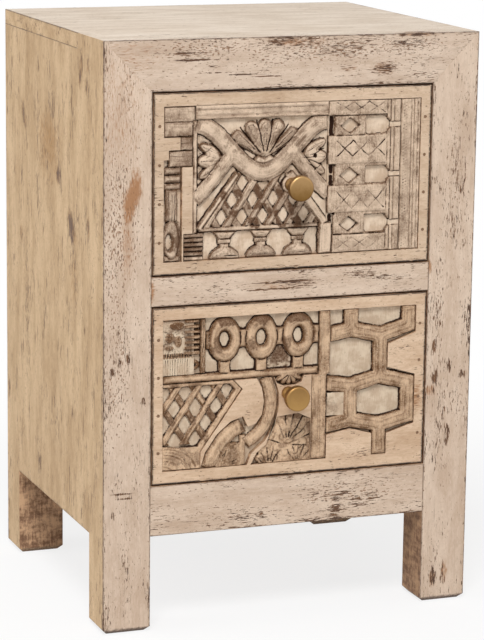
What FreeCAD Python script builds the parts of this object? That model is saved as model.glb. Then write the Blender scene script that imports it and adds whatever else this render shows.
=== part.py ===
import FreeCAD, Part
import math
import os

import Sketcher
from FreeCAD import Placement, Rotation, Vector

# Two-drawer nightstand of whitewashed wood. Old carved pieces are let into both drawer fronts.
# Frame: floor at z = 0, front towards -y, origin in the middle of the footprint with the knobs.

# Driving sizes in millimetres
SIZES = {
    # Carcass
    "overall_width": 400,
    "overall_depth": 350,
    "floor_clearance": 99,
    "bottom_rail_height": 52,
    "drawer_opening_height": 184,
    "middle_rail_height": 30,
    "top_rail_height": 51,
    "leg_width": 50,
    "leg_depth": 46,
    "foot_chamfer": 5,
    "rail_depth": 34,
    "tenon_length": 24,
    "tenon_thickness": 12,
    "tenon_shoulder": 5,
    "joint_clearance": 0.15,
    "top_thickness": 16,
    "side_thickness": 18,
    "side_floor_clearance": 95,
    "side_ear_depth": 38,
    "side_tongue_thickness": 6,
    "side_tongue_depth": 8,
    "back_thickness": 6,
    "back_rail_depth": 22,
    "back_rail_height": 45,
    "dust_thickness": 6,
    # Runners, kickers and stops
    "runner_height": 18,
    "runner_ledge": 14,
    "guide_height": 22,
    "kicker_overhang": 4,
    "stop_height": 15,
    "stop_depth": 13.7,
    # Drawer boxes
    "drawer_gap": 1.8,
    "running_clearance": 0.3,
    "front_thickness": 20,
    "drawer_side_thickness": 12,
    "drawer_side_drop": 8,
    "drawer_back_thickness": 12,
    "drawer_bottom_thickness": 5,
    "bottom_groove_depth": 5,
    "bottom_groove_height": 8,
    # Carved pieces
    "border_side": 10.7,
    "border_top": 12.6,
    "pocket_depth": 6,
    "relief_depth": 4.4,
    "carving_clearance": 0.45,
    "crest_height": 0.8,
    "lobe_height": 0.5,
    "lattice_drop": 0.6,
    "lattice_step": 0.5,
    # Knobs
    "knob_projection": 30,
    "knob_face_diameter": 26,
    "knob_face_thickness": 8,
    "knob_rim_round": 2.4,
    "knob_neck_diameter": 10.5,
    "knob_flange_diameter": 14,
    "knob_flange_thickness": 3,
    "knob_seat_margin": 0.6,
    "knob_left_of_middle": 3,
    "knob_below_middle": 5.5,
    # Fasteners
    "screw_diameter": 4,
    "screw_head_diameter": 8,
    "screw_head_height": 2.4,
    "screw_grip": 14,
    "screw_tip_gap": 1,
    "washer_diameter": 12,
    "washer_thickness": 1.2,
    "hole_clearance": 0.15,
    "nail_diameter": 1.8,
    "nail_head_diameter": 3,
    "nail_head_height": 1,
    "front_nail_length": 40,
    "front_nail_spread": 116,
    "front_nails_per_side": 4,
    "back_nail_length": 22,
    "back_nail_spread": 240,
    "back_nails_per_rail": 4,
    "runner_screw_diameter": 3.5,
    "runner_screw_head": 7,
    "runner_screw_head_height": 2.5,
    "runner_screw_bite": 11,
    "runner_screw_inset": 40,
}

# The carved pattern is given in units of a drawing, and then fitted to the carved field
PATTERN_UNITS_ACROSS = 275.0
PATTERN_UNITS_UP = 155.2

doc = FreeCAD.newDocument("carved_nightstand")
sheet = doc.addObject("Spreadsheet::Sheet", "Sizes")
for row, (alias, number) in enumerate(SIZES.items(), start=1):
    sheet.set(f"A{row}", alias)
    sheet.set(f"B{row}", str(number))
    sheet.setAlias(f"B{row}", alias)
doc.recompute()


def size(alias):
    """Returns the number in a cell of the sheet."""
    return float(sheet.get(alias))


def value(expression):
    """Returns the number that an expression on the sheet stands for."""
    result = sheet.evalExpression(expression)
    return float(getattr(result, "Value", result))


# Levels and planes of the carcass, as expressions on the sheet
FRONT = "(Sizes.knob_projection - Sizes.overall_depth) / 2"
BACK = "(Sizes.knob_projection + Sizes.overall_depth) / 2"
HALF = "Sizes.overall_width / 2"
OPENING = f"({HALF} - Sizes.leg_width)"
INSIDE = f"({HALF} - Sizes.side_thickness)"
LOWER_BASE = "(Sizes.floor_clearance + Sizes.bottom_rail_height)"
LOWER_TOP = f"({LOWER_BASE} + Sizes.drawer_opening_height)"
UPPER_BASE = f"({LOWER_TOP} + Sizes.middle_rail_height)"
UPPER_TOP = f"({UPPER_BASE} + Sizes.drawer_opening_height)"
TOP = f"({UPPER_TOP} + Sizes.top_rail_height)"
TOP_UNDERSIDE = f"({TOP} - Sizes.top_thickness)"
FRONT_LEG_BACK = f"({FRONT} + Sizes.leg_depth)"
BACK_LEG_FRONT = f"({BACK} - Sizes.leg_depth)"
RAIL_BACK = f"({FRONT} + Sizes.rail_depth)"
BACK_RAIL_BACK = f"({BACK} - Sizes.back_thickness)"
BACK_RAIL_FRONT = f"({BACK_RAIL_BACK} - Sizes.back_rail_depth)"
DRAWER_HALF = f"({OPENING} - Sizes.drawer_gap)"
DRAWER_BACK = f"({BACK_LEG_FRONT} - Sizes.stop_depth - Sizes.running_clearance)"
FRONT_INNER = f"({FRONT} + Sizes.front_thickness)"
CLEAR = "Sizes.joint_clearance"

pieces = []


def piece(item):
    """Puts a finished object on the list of sub-parts."""
    pieces.append(item)
    return item


# Building blocks


def bind_base(item, x, y, z):
    """Binds an object's position to three expressions."""
    for axis, expression in zip("xyz", (x, y, z)):
        item.setExpression(f"Placement.Base.{axis}", expression)


def block(name, low, high):
    """Adds a box between two corners, each given as three expressions."""
    box = doc.addObject("Part::Box", name)
    for side, start, end in zip(("Length", "Width", "Height"), low, high):
        box.setExpression(side, f"({end}) - ({start})")
    bind_base(box, *low)
    return box


def fuse(name, *items):
    """Joins objects into one. Those that don't touch stay separate solids."""
    joined = doc.addObject("Part::MultiFuse", name)
    joined.Shapes = list(items)
    joined.Refine = True
    return joined


def cut(name, base, *tools):
    """Takes the tools away from the base."""
    remaining = doc.addObject("Part::Cut", name)
    remaining.Base = base
    remaining.Tool = tools[0] if len(tools) == 1 else fuse(name + "_tools", *tools)
    remaining.Refine = True
    return remaining


def mirrored(name, source):
    """Adds the right-hand twin of a left-hand object."""
    twin = doc.addObject("Part::Mirroring", name)
    twin.Source = source
    twin.Base = Vector(0, 0, 0)
    twin.Normal = Vector(1, 0, 0)
    return twin


def rod(name, radius, length, start, direction):
    """Adds a cylinder from a start point, given as expressions, along a direction."""
    cylinder = doc.addObject("Part::Cylinder", name)
    cylinder.setExpression("Radius", radius)
    cylinder.setExpression("Height", length)
    cylinder.Placement = Placement(Vector(), Rotation(Vector(0, 0, 1), direction))
    bind_base(cylinder, *start)
    return cylinder


def fastener(name, shank, head, head_height, length, start, direction, room="0"):
    """Adds a flat-headed nail or screw, or with room its hole. It starts at the head's outer face."""
    head_rod = rod(name + "_head", f"{head} / 2 + {room}", f"{head_height} + {room}", start, direction)
    shank_rod = rod(name + "_shank", f"{shank} / 2 + {room}", f"{length} + {room}", start, direction)
    return fuse(name, head_rod, shank_rod)


def body_with_profile(name, plane, corners):
    """Starts a body with a closed sketch through corners, each a pair of expressions from 0 up."""
    body = doc.addObject("PartDesign::Body", name)
    sketch = body.newObject("Sketcher::SketchObject", name + "_profile")
    support = next(item for item in body.Origin.OriginFeatures if item.Role == plane)
    sketch.AttachmentSupport = [(support, "")]
    sketch.MapMode = "FlatFace"
    points = [Vector(value(u), value(v), 0) for u, v in corners]
    for index, point in enumerate(points):
        sketch.addGeometry(Part.LineSegment(point, points[(index + 1) % len(points)]), False)
    for index, corner in enumerate(corners):
        following = (index + 1) % len(corners)
        sketch.addConstraint(Sketcher.Constraint("Coincident", index, 2, following, 1))
        for kind, axis, expression in zip(("DistanceX", "DistanceY"), (-2, -1), corner):
            if expression == "0":
                sketch.addConstraint(Sketcher.Constraint("PointOnObject", index, 1, axis))
                continue
            number = sketch.addConstraint(Sketcher.Constraint(kind, -1, 1, index, 1, value(expression)))
            sketch.setExpression(f"Constraints[{number}]", expression)
    return body, sketch


def padded(name, corners, depth):
    """Makes a body from a front outline in x and z, extruded backwards."""
    body, sketch = body_with_profile(name, "XZ_Plane", corners)
    pad = body.newObject("PartDesign::Pad", name + "_pad")
    pad.Profile = sketch
    pad.setExpression("Length", depth)
    pad.Reversed = True
    doc.recompute()
    return body, pad


def turned(name, corners):
    """Makes a body of revolution about y from a half section of radius and length, pointing forwards."""
    body, sketch = body_with_profile(name, "XY_Plane", corners)
    revolution = body.newObject("PartDesign::Revolution", name + "_turning")
    revolution.Profile = sketch
    revolution.ReferenceAxis = (sketch, ["V_Axis"])
    revolution.Angle = 360
    body.Placement = Placement(Vector(), Rotation(Vector(0, 0, 1), 180))
    doc.recompute()
    return body, revolution


# Frame of posts and rails


def post(name, upper_corners, y):
    """Makes a left-hand post with its foot eased all round. The outline's origin is its outer lower edge."""
    ease = "Sizes.foot_chamfer"
    foot = [(ease, "0"), (f"Sizes.leg_width - {ease}", "0"), ("Sizes.leg_width", ease)]
    body, pad = padded(name, foot + upper_corners + [("0", ease)], "Sizes.leg_depth")
    sole = [
        f"Edge{number}"
        for number, edge in enumerate(pad.Shape.Edges, start=1)
        if abs(edge.BoundBox.ZMax) < 1e-6 and edge.BoundBox.YLength < 1e-6
    ]
    chamfer = body.newObject("PartDesign::Chamfer", name + "_foot")
    chamfer.Base = (pad, sole)
    chamfer.setExpression("Size", ease)
    bind_base(body, f"-{HALF}", y, "0")
    return body


def rail_span(name, low, high, depth_low, depth_high, reach, grow):
    """Adds the tenon of a rail, or with room its mortises, from end to end."""
    middle = f"(({depth_low}) + ({depth_high})) / 2"
    half = f"(Sizes.tenon_thickness / 2 + {grow})"
    shoulder = f"(Sizes.tenon_shoulder - {grow})"
    return block(
        name,
        (f"-{OPENING} - {reach}", f"{middle} - {half}", f"{low} + {shoulder}"),
        (f"{OPENING} + {reach}", f"{middle} + {half}", f"{high} - {shoulder}"),
    )


def rail(name, low, high, depth_low, depth_high):
    """Makes a rail with a tenon at each end, and the tool that cuts its mortises."""
    levels = (low, high, depth_low, depth_high)
    bar = block(name + "_bar", (f"-{OPENING}", depth_low, low), (OPENING, depth_high, high))
    tenon = rail_span(name + "_tenon", *levels, "Sizes.tenon_length", "0")
    mortise = rail_span(name + "_mortise", *levels, f"(Sizes.tenon_length + {CLEAR})", CLEAR)
    return fuse(name, bar, tenon), mortise


def tongue(name, y_start, y_end, grow):
    """Adds the tongue on one edge of the left side board, or with room its groove."""
    middle = f"(-{HALF} + Sizes.side_thickness / 2)"
    half = f"(Sizes.side_tongue_thickness / 2 + {grow})"
    return block(
        name,
        (f"{middle} - {half}", y_start, f"Sizes.side_floor_clearance - {grow}"),
        (f"{middle} + {half}", y_end, f"{TOP_UNDERSIDE}"),
    )


middle_rail, middle_mortise = rail("front_middle_rail", LOWER_TOP, UPPER_BASE, FRONT, RAIL_BACK)
bottom_rail, bottom_mortise = rail("front_bottom_rail", "Sizes.floor_clearance", LOWER_BASE, FRONT, RAIL_BACK)
back_top_low = f"({TOP_UNDERSIDE} - Sizes.back_rail_height)"
back_bottom_high = "(Sizes.floor_clearance + Sizes.back_rail_height)"
back_levels = (BACK_RAIL_FRONT, BACK_RAIL_BACK)
back_top, back_top_mortise = rail("back_top_rail_stock", back_top_low, TOP_UNDERSIDE, *back_levels)
back_bottom, back_bottom_mortise = rail(
    "back_bottom_rail_stock", "Sizes.floor_clearance", back_bottom_high, *back_levels
)

tongue_reach = f"(Sizes.side_tongue_depth - {CLEAR})"
front_groove = tongue("front_groove", f"{FRONT_LEG_BACK} - Sizes.side_tongue_depth", FRONT_LEG_BACK, CLEAR)
back_groove = tongue("back_groove", BACK_LEG_FRONT, f"{BACK_LEG_FRONT} + Sizes.side_tongue_depth", CLEAR)
front_tongue = tongue("front_tongue", f"{FRONT_LEG_BACK} - {tongue_reach}", FRONT_LEG_BACK, "0")
back_tongue = tongue("back_tongue", BACK_LEG_FRONT, f"{BACK_LEG_FRONT} + {tongue_reach}", "0")

mitre = [("Sizes.leg_width", UPPER_TOP), ("0", TOP)]
square = [("Sizes.leg_width", TOP_UNDERSIDE), ("0", TOP_UNDERSIDE)]
front_post = post("front_post", mitre, FRONT)
back_post = post("back_post", square, BACK_LEG_FRONT)
front_left_leg = piece(cut("front_left_leg", front_post, middle_mortise, bottom_mortise, front_groove))
back_left_leg = piece(cut("back_left_leg", back_post, back_top_mortise, back_bottom_mortise, back_groove))
piece(mirrored("front_right_leg", front_left_leg))
piece(mirrored("back_right_leg", back_left_leg))
piece(middle_rail)
piece(bottom_rail)

top_rail_corners = [
    ("0", "Sizes.top_rail_height"),
    ("Sizes.leg_width", "0"),
    ("Sizes.overall_width - Sizes.leg_width", "0"),
    ("Sizes.overall_width", "Sizes.top_rail_height"),
]
top_rail, _ = padded("front_top_rail", top_rail_corners, "Sizes.leg_depth")
bind_base(top_rail, f"-{HALF}", FRONT, UPPER_TOP)
piece(top_rail)

# Boards of the carcass, with the nails of the back board

ear_back = f"({FRONT_LEG_BACK} + Sizes.side_ear_depth)"


def ear(name):
    """Adds the part of the left side board that runs up to the top surface behind the front post."""
    return block(name, (f"-{HALF}", FRONT_LEG_BACK, TOP_UNDERSIDE), (f"-{INSIDE}", ear_back, TOP))


top_blank = block("top_blank", (f"-{HALF}", FRONT_LEG_BACK, TOP_UNDERSIDE), (HALF, BACK, TOP))
left_notch = ear("left_notch")
piece(cut("top_board", top_blank, left_notch, mirrored("right_notch", left_notch)))


def back_nails(name, room):
    """Adds the nails that hold the back board to both back rails, or with room their holes."""
    count = int(size("back_nails_per_rail"))
    nails = []
    for rail_name, low in (("top", back_top_low), ("bottom", "Sizes.floor_clearance")):
        for index in range(count):
            x = f"Sizes.back_nail_spread * ({index} / {count - 1} - 0.5)"
            nails.append(
                fastener(
                    f"{name}_{rail_name}_{index}",
                    "Sizes.nail_diameter",
                    "Sizes.nail_head_diameter",
                    "Sizes.nail_head_height",
                    "Sizes.back_nail_length",
                    (x, BACK, f"{low} + Sizes.back_rail_height / 2"),
                    Vector(0, -1, 0),
                    room,
                )
            )
    return fuse(name, *nails)


back_holes = back_nails("back_nail_holes", "Sizes.hole_clearance")
back_blank = block(
    "back_blank",
    (f"-{OPENING}", BACK_RAIL_BACK, "Sizes.floor_clearance"),
    (OPENING, BACK, TOP_UNDERSIDE),
)
piece(cut("back_board", back_blank, back_holes))
piece(cut("back_top_rail", back_top, back_holes))
piece(cut("back_bottom_rail", back_bottom, back_holes))
piece(back_nails("back_board_nails", "0"))

dust_top = f"({LOWER_BASE} - Sizes.runner_height)"
piece(
    block(
        "dust_board",
        (f"-{OPENING}", RAIL_BACK, f"{dust_top} - Sizes.dust_thickness"),
        (OPENING, BACK_RAIL_FRONT, dust_top),
    )
)

# Side boards, runners, kickers and stops, with the screws between them

DRAWERS = {"lower": LOWER_BASE, "upper": UPPER_BASE}
kicker_low = f"({UPPER_TOP} - Sizes.kicker_overhang)"
screw_levels = {
    "lower": f"{LOWER_BASE} + Sizes.guide_height / 2",
    "upper": f"{UPPER_BASE} + Sizes.guide_height / 2",
    "kicker": f"({kicker_low} + {TOP_UNDERSIDE}) / 2",
}


def side_screws(name, room):
    """Adds the left-hand screws through runners and kicker into the side board, or their holes."""
    screws = []
    for row_name, z in screw_levels.items():
        head_x = f"-{OPENING} + Sizes.runner_ledge" if row_name == "kicker" else f"-{OPENING}"
        length = f"({head_x}) + {INSIDE} + Sizes.runner_screw_bite"
        rows = {
            "front": f"{FRONT_LEG_BACK} + Sizes.runner_screw_inset",
            "back": f"{BACK_LEG_FRONT} - Sizes.runner_screw_inset",
        }
        for place, y in rows.items():
            screws.append(
                fastener(
                    f"{name}_{row_name}_{place}",
                    "Sizes.runner_screw_diameter",
                    "Sizes.runner_screw_head",
                    "Sizes.runner_screw_head_height",
                    length,
                    (head_x, y, z),
                    Vector(-1, 0, 0),
                    room,
                )
            )
    return fuse(name, *screws)


screw_holes = side_screws("screw_holes", "Sizes.hole_clearance")
side_blank = fuse(
    "side_blank",
    block(
        "side_field",
        (f"-{HALF}", FRONT_LEG_BACK, "Sizes.side_floor_clearance"),
        (f"-{INSIDE}", BACK_LEG_FRONT, TOP_UNDERSIDE),
    ),
    ear("left_ear"),
    front_tongue,
    back_tongue,
)
left_side = piece(cut("left_side_board", side_blank, screw_holes))
piece(mirrored("right_side_board", left_side))

for drawer, base in DRAWERS.items():
    ledge = block(
        f"{drawer}_ledge",
        (f"-{OPENING}", RAIL_BACK, f"{base} - Sizes.runner_height"),
        (f"-{OPENING} + Sizes.runner_ledge", BACK_LEG_FRONT, base),
    )
    guide = block(
        f"{drawer}_guide",
        (f"-{INSIDE}", FRONT_LEG_BACK, f"{base} - Sizes.runner_height"),
        (f"-{OPENING}", BACK_LEG_FRONT, f"{base} + Sizes.guide_height"),
    )
    runner_blank = fuse(f"{drawer}_runner_blank", ledge, guide)
    left_runner = piece(cut(f"{drawer}_left_runner", runner_blank, screw_holes))
    piece(mirrored(f"{drawer}_right_runner", left_runner))
    left_stop = block(
        f"{drawer}_left_stop",
        (f"-{OPENING}", f"{BACK_LEG_FRONT} - Sizes.stop_depth", base),
        (f"-{OPENING} + Sizes.runner_ledge", BACK_LEG_FRONT, f"{base} + Sizes.stop_height"),
    )
    piece(fuse(f"{drawer}_stop_blocks", left_stop, mirrored(f"{drawer}_right_stop", left_stop)))

kicker_blank = block(
    "kicker_blank",
    (f"-{INSIDE}", FRONT_LEG_BACK, kicker_low),
    (f"-{OPENING} + Sizes.runner_ledge", BACK_LEG_FRONT, TOP_UNDERSIDE),
)
left_kicker = piece(cut("left_kicker", kicker_blank, screw_holes))
piece(mirrored("right_kicker", left_kicker))
left_screws = side_screws("left_runner_screws", "0")
piece(fuse("runner_screws", left_screws, mirrored("right_runner_screws", left_screws)))

# Flat shapes of the carving. They are drawn in x and z of the pattern, seen from the front.

field_width = 2 * value(DRAWER_HALF) - 2 * size("border_side")
front_height = size("drawer_opening_height") - 2 * size("drawer_gap")
field_height = front_height - 2 * size("border_top")
STRETCH_X = field_width / PATTERN_UNITS_ACROSS
STRETCH_Z = field_height / PATTERN_UNITS_UP
knob_seat_radius = size("knob_flange_diameter") / 2 + size("knob_seat_margin")
knob_spot = Vector(-size("knob_left_of_middle"), -size("knob_below_middle"), 0)


def at(x, z):
    """Places a point of the pattern on the drawer front."""
    return Vector(x * STRETCH_X, z * STRETCH_Z, 0)


def polygon(*points):
    """Returns the face inside straight lines through the points."""
    corners = [at(x, z) for x, z in points]
    return Part.Face(Part.makePolygon(corners + corners[:1]))


def slab(left, bottom, right, top):
    """Returns a rectangle."""
    return polygon((left, bottom), (right, bottom), (right, top), (left, top))


def oval_from(centre, long_end, short_end):
    """Returns an oval from its centre and the ends of its two half-axes."""
    if (long_end - centre).Length < (short_end - centre).Length:
        long_end, short_end = short_end, long_end
    if (long_end - centre).Length - (short_end - centre).Length < 1e-6:
        edge = Part.Circle(centre, Vector(0, 0, 1), (long_end - centre).Length)
    else:
        edge = Part.Ellipse(long_end, short_end, centre)
    return Part.Face(Part.Wire([edge.toShape()]))


def oval(x, z, half_width, half_height):
    """Returns an upright oval."""
    return oval_from(at(x, z), at(x + half_width, z), at(x, z + half_height))


def ring(x, z, half_width, half_height, hole_width, hole_height):
    """Returns an oval with an oval hole."""
    return oval(x, z, half_width, half_height).cut(oval(x, z, hole_width, hole_height))


def lobe(root, tip, width):
    """Returns a leaf-shaped oval that runs from its root to its tip."""
    start, end = at(*root), at(*tip)
    along = (end - start).normalize()
    centre = (start + end) / 2
    return oval_from(centre, end, centre + Vector(-along.y, along.x, 0) * (width * STRETCH_X / 2))


def petal(root, tip, width):
    """Returns the two faces of a petal: a stem that widens from its root, and its round end."""
    start, end = Vector(*root, 0), Vector(*tip, 0)
    along = (end - start).normalize()
    across = Vector(-along.y, along.x, 0) * (width / 2)
    centre = end - along * (width / 2)
    corners = (start + across * 0.3, centre + across, centre - across, start - across * 0.3)
    stem = polygon(*((corner.x, corner.y) for corner in corners))
    return [stem, oval(centre.x, centre.y, width / 2, width / 2)]


def ribbon(points, width, curved=False):
    """Returns a band of constant width about a line, with mitred or curved sides."""
    count = len(points)
    left, right = [], []
    for index, (x, z) in enumerate(points):
        before = Vector(*points[max(index - 1, 0)], 0)
        after = Vector(*points[min(index + 1, count - 1)], 0)
        here = Vector(x, z, 0)
        arriving = (here - before) if index > 0 else (after - here)
        leaving = (after - here) if index < count - 1 else arriving
        mean = arriving.normalize() + leaving.normalize()
        normal = Vector(-mean.y, mean.x, 0).normalize()
        reach = width / 2 / normal.dot(Vector(-arriving.y, arriving.x, 0))
        left.append(at(x + normal.x * reach, z + normal.y * reach))
        right.append(at(x - normal.x * reach, z - normal.y * reach))
    if not curved:
        return Part.Face(Part.makePolygon(left + right[::-1] + left[:1]))
    sides = []
    for side in (left, right):
        curve = Part.BSplineCurve()
        curve.interpolate(side)
        sides.append(curve.toShape())
    ends = [Part.makeLine(left[0], right[0]), Part.makeLine(left[-1], right[-1])]
    return Part.Face(Part.Wire(Part.__sortEdges__([sides[0], ends[1], sides[1], ends[0]])))


def lattice(region, pitch, rise, width, node):
    """Returns levels and bars that cross inside a region. They meet at the node and every pitch from it."""
    bounds = region.BoundBox
    reach = bounds.DiagonalLength
    slope = Vector(pitch / 2, rise, 0).normalize()
    bars = []
    for mirror, level in ((1, LOW), (-1, LOWER)):
        along = Vector(slope.x * mirror, slope.y, 0)
        for step in range(-12, 13):
            x, z = node[0] + step * pitch, node[1]
            start = (x - along.x * reach, z - along.y * reach)
            end = (x + along.x * reach, z + along.y * reach)
            strip = ribbon([start, end], width).common(region)
            bars += [(level, face) for face in strip.Faces]
    return bars


# The carved pieces: each has an outline and flat shapes at their levels above the drawer front

CREST = size("crest_height")
LOBE = size("lobe_height")
FLUSH = 0.0
LOW = -size("lattice_drop")
LOWER = LOW - size("lattice_step")


def column_piece():
    """Stepped bracket over a short column with an urn, at the left of the upper front."""
    outline = polygon(
        (-137.4, 76.8), (-105, 76.8), (-105, 63.2), (-107.8, 63.2), (-107.8, 17), (-119, 17), (-119, -77.4),
        (-137.4, -77.4), (-137.4, 24), (-132.2, 24), (-132.2, 33.4), (-120.2, 33.4), (-120.2, 46.8),
        (-137.4, 46.8),
    )
    urn = oval(-129, -56, 8.6, 19.4).cut(oval(-131.6, -58, 3.6, 8.8))
    relief = [
        (FLUSH, slab(-137, 61.4, -105.4, 76.4)),
        (FLUSH, slab(-137, 47.2, -105.4, 59.6)),
        (FLUSH, slab(-119.8, 33.8, -105.4, 46)),
        (FLUSH, slab(-131.8, 17.4, -107.8, 32.4)),
        (LOBE, slab(-137, 10, -119.4, 16.4)),
        (CREST, slab(-137, 1.8, -119.4, 8.4)),
        (LOBE, slab(-137, -5.4, -119.4, 0.4)),
        (CREST, slab(-135.4, -37, -123, -5.6)),
        (LOBE, urn),
        (FLUSH, slab(-137, -77, -121, -72)),
    ]
    return outline, relief


def crown_strip():
    """Plain moulded strip along the top of the upper front."""
    outline = slab(-104.4, 63.2, 36.4, 77.2)
    relief = [
        (CREST, slab(-104, 73.4, 36, 76.8)),
        (FLUSH, slab(-104, 67, 36, 72.4)),
        (LOBE, slab(-104, 63.6, 36, 66)),
    ]
    return outline, relief


SHELL_AXIS = -33.0
SHELL_SPAN = 70.0
SHELL_RISE = 50.0
SHELL_BASE = 8.0


def ogee_piece():
    """Shell in a hanging curved band, with half rosettes, lattice and balusters below."""
    outline = polygon(
        (-107.2, 62.6), (36.4, 62.6), (36.4, -46), (42, -46), (42, -77.4),
        (-116.6, -77.4), (-116.6, -50.4), (-107.2, -50.4),
    )
    relief = [(FLUSH, slab(-106.8, -50, -102.8, 62.2)), (FLUSH, slab(28, -77, 41.6, -46.4))]
    for index in range(6):
        bottom = -77 + 4.6 * index
        relief.append((FLUSH, slab(-116.2, bottom, -96, bottom + 3)))

    def hanging(x):
        return SHELL_BASE + SHELL_RISE * (1 - math.cos(math.pi * (x - SHELL_AXIS) / SHELL_SPAN)) / 2

    stations = [SHELL_AXIS + SHELL_SPAN * step / 6 for step in range(-6, 7)]
    relief.append((CREST, ribbon([(x, hanging(x)) for x in stations], 17, curved=True)))
    for side in (-1, 1):
        def mirror(offset):
            return SHELL_AXIS + side * offset

        arm = [(mirror(34), 25), (mirror(46), 10), (mirror(58), -4), (mirror(72), -17)]
        relief.append((CREST, ribbon(arm, 14, curved=True)))
        leaves = [((41, 21.5), (69, 21.5), 15), ((45, 26), (67, 38), 10), ((45, 17), (67, 5), 10)]
        for (root_x, root_z), (tip_x, tip_z), width in leaves:
            relief.append((LOBE, lobe((mirror(root_x), root_z), (mirror(tip_x), tip_z), width)))
    shell = (((-31, 61.4), 14.6), ((-48, 59), 14), ((-14, 60), 14), ((-65, 48), 13), ((3.6, 49), 13))
    for tip, width in shell:
        relief += [(LOBE, face) for face in petal((SHELL_AXIS + 1.5, 24), tip, width)]
    relief.append((FLUSH, oval(SHELL_AXIS + 1.5, 20, 10, 6)))
    region = polygon((-58, 8), (-33, -4), (-8, 8), (30, -45.6), (-96, -45.6))
    relief += lattice(region, 22, 17, 6.4, (-21, -36))
    relief.append((FLUSH, ribbon([(-60, 8), (-101, -47)], 5)))
    relief.append((FLUSH, ribbon([(-4, 6), (34, -46)], 8)))
    relief.append((FLUSH, slab(-100, -49, 27, -45.6)))
    for axis in (-73, -34, 5.5):
        cup = ((axis - 12.5, -49.6), (axis + 12.5, -49.6), (axis + 5.5, -58), (axis - 5.5, -58))
        relief.append((LOBE, polygon(*cup)))
        relief.append((CREST, slab(axis - 6.5, -61.6, axis + 6.5, -58.2)))
        relief.append((LOBE, slab(axis - 5, -68, axis + 5, -61)))
        relief.append((LOBE, oval(axis, -77.4, 16, 12.4)))
    seat_edge = Part.Circle(knob_spot, Vector(0, 0, 1), knob_seat_radius + 1)
    relief.append((FLUSH, Part.Face(Part.Wire([seat_edge.toShape()]))))
    return outline, relief


def diamond_piece():
    """Flat bands between rows of diamond and pencil-shaped windows, at the right of the upper front."""
    outline = polygon((37, 77.2), (115.6, 77.2), (115.6, -77.2), (42.6, -77.2), (42.6, -45.4), (37, -45.4))
    rows = (51.6, 1.0, -48.6)
    windows = []
    for z in rows:
        windows.append(polygon((50.2, z), (60.6, z - 8), (71, z), (60.6, z + 8)))
        upper_half = ((78, z + 9), (99, z + 9), (105, z + 3), (115.6, z + 3))
        lower_half = ((115.6, z - 3), (105, z - 3), (99, z - 9), (78, z - 9))
        windows.append(polygon(*upper_half, *lower_half))
    relief = []
    bands = ((37.4, 62.6, 76.8), (37.4, 13.2, 41.4), (37.4, -36.2, -9.2), (43, -76.8, -59.6))
    for left, bottom, top in bands:
        relief.append((LOBE, slab(left, bottom, 100.4, top)))
    for z in rows:
        relief.append((LOW, slab(43.4, z - 10.2, 100.4, z + 10.2)))
    for left, right, level in ((101.2, 104.4, FLUSH), (105.2, 108, CREST), (108.8, 115.2, FLUSH)):
        relief.append((level, slab(left, -76.8, right, 76.8)))
    pierced = []
    for level, face in relief:
        for window in windows:
            face = face.cut(window)
        pierced += [(level, part) for part in face.Faces]
    return outline, pierced


def edge_strip():
    """Upright moulded strip at the right edge of the upper front."""
    outline = slab(116.2, -77.2, 137.2, 77.2)
    relief = [
        (FLUSH, slab(116.6, -76.8, 127.2, 76.8)),
        (CREST, slab(128, -76.8, 129.8, 76.8)),
        (FLUSH, slab(130.6, -76.8, 134.4, 76.8)),
        (LOBE, slab(135.2, -76.8, 136.8, 76.8)),
    ]
    return outline, relief


def ladder_piece():
    """Leafy fragment with a ladder of rungs, a post and flutes, at the upper left of the lower front."""
    outline = slab(-137.2, 20.8, -91.8, 77.4)
    relief = [(FLUSH, slab(-97, 21.2, -92.2, 77))]
    for index in range(7):
        bottom = 73.4 - 5.4 * index
        relief.append((FLUSH, slab(-114, bottom, -98.4, bottom + 3)))
    for index in range(11):
        left = -136.6 + 2.6 * index
        relief.append((FLUSH, slab(left, 21.2, left + 1.7, 43)))
    relief.append((LOBE, ring(-103, 30, 4.6, 5, 1.6, 1.8)))
    leaves = ((-122, 71, 9, 5.4), (-130, 59, 6, 6.6), (-121, 55, 5, 7), (-130, 48.6, 5.6, 3.6))
    relief += [(LOW, oval(*leaf)) for leaf in leaves]
    return outline, relief


RING_AXES = (-71.4, -31.8, 8.0)
RING_LEVEL = 54.0


def ring_piece():
    """Row of linked oval rings on a long bar, with a half rosette below the bar."""
    outline = polygon(
        (-91.2, 77.4), (30.4, 77.4), (30.4, 12.4), (14, 12.4), (11.4, 6), (4.4, 3), (-8, 3), (-15, 6),
        (-17.6, 12.4), (-137.2, 12.4), (-137.2, 20.2), (-91.2, 20.2),
    )
    relief = [(LOBE, slab(-136.8, 12.8, 30, 19.8))]
    for axis in RING_AXES:
        relief.append((CREST, ring(axis, RING_LEVEL, 17.4, 23.2, 6, 9)))
        relief.append((FLUSH, slab(axis - 5.6, 19.4, axis + 5.6, 33)))
    for left, right in ((-91, -86), (-57, -46.4), (-17.4, -6.6), (22, 30.2)):
        relief.append((LOW, slab(left, RING_LEVEL - 8.6, right, RING_LEVEL + 8.6)))
    for tip in ((-15.6, 8.4), (-9.6, 4.6), (-2, 3.4), (5.6, 4.6), (12, 8.4)):
        relief.append((LOBE, lobe((-2, 13.4), tip, 6)))
    return outline, relief


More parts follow.
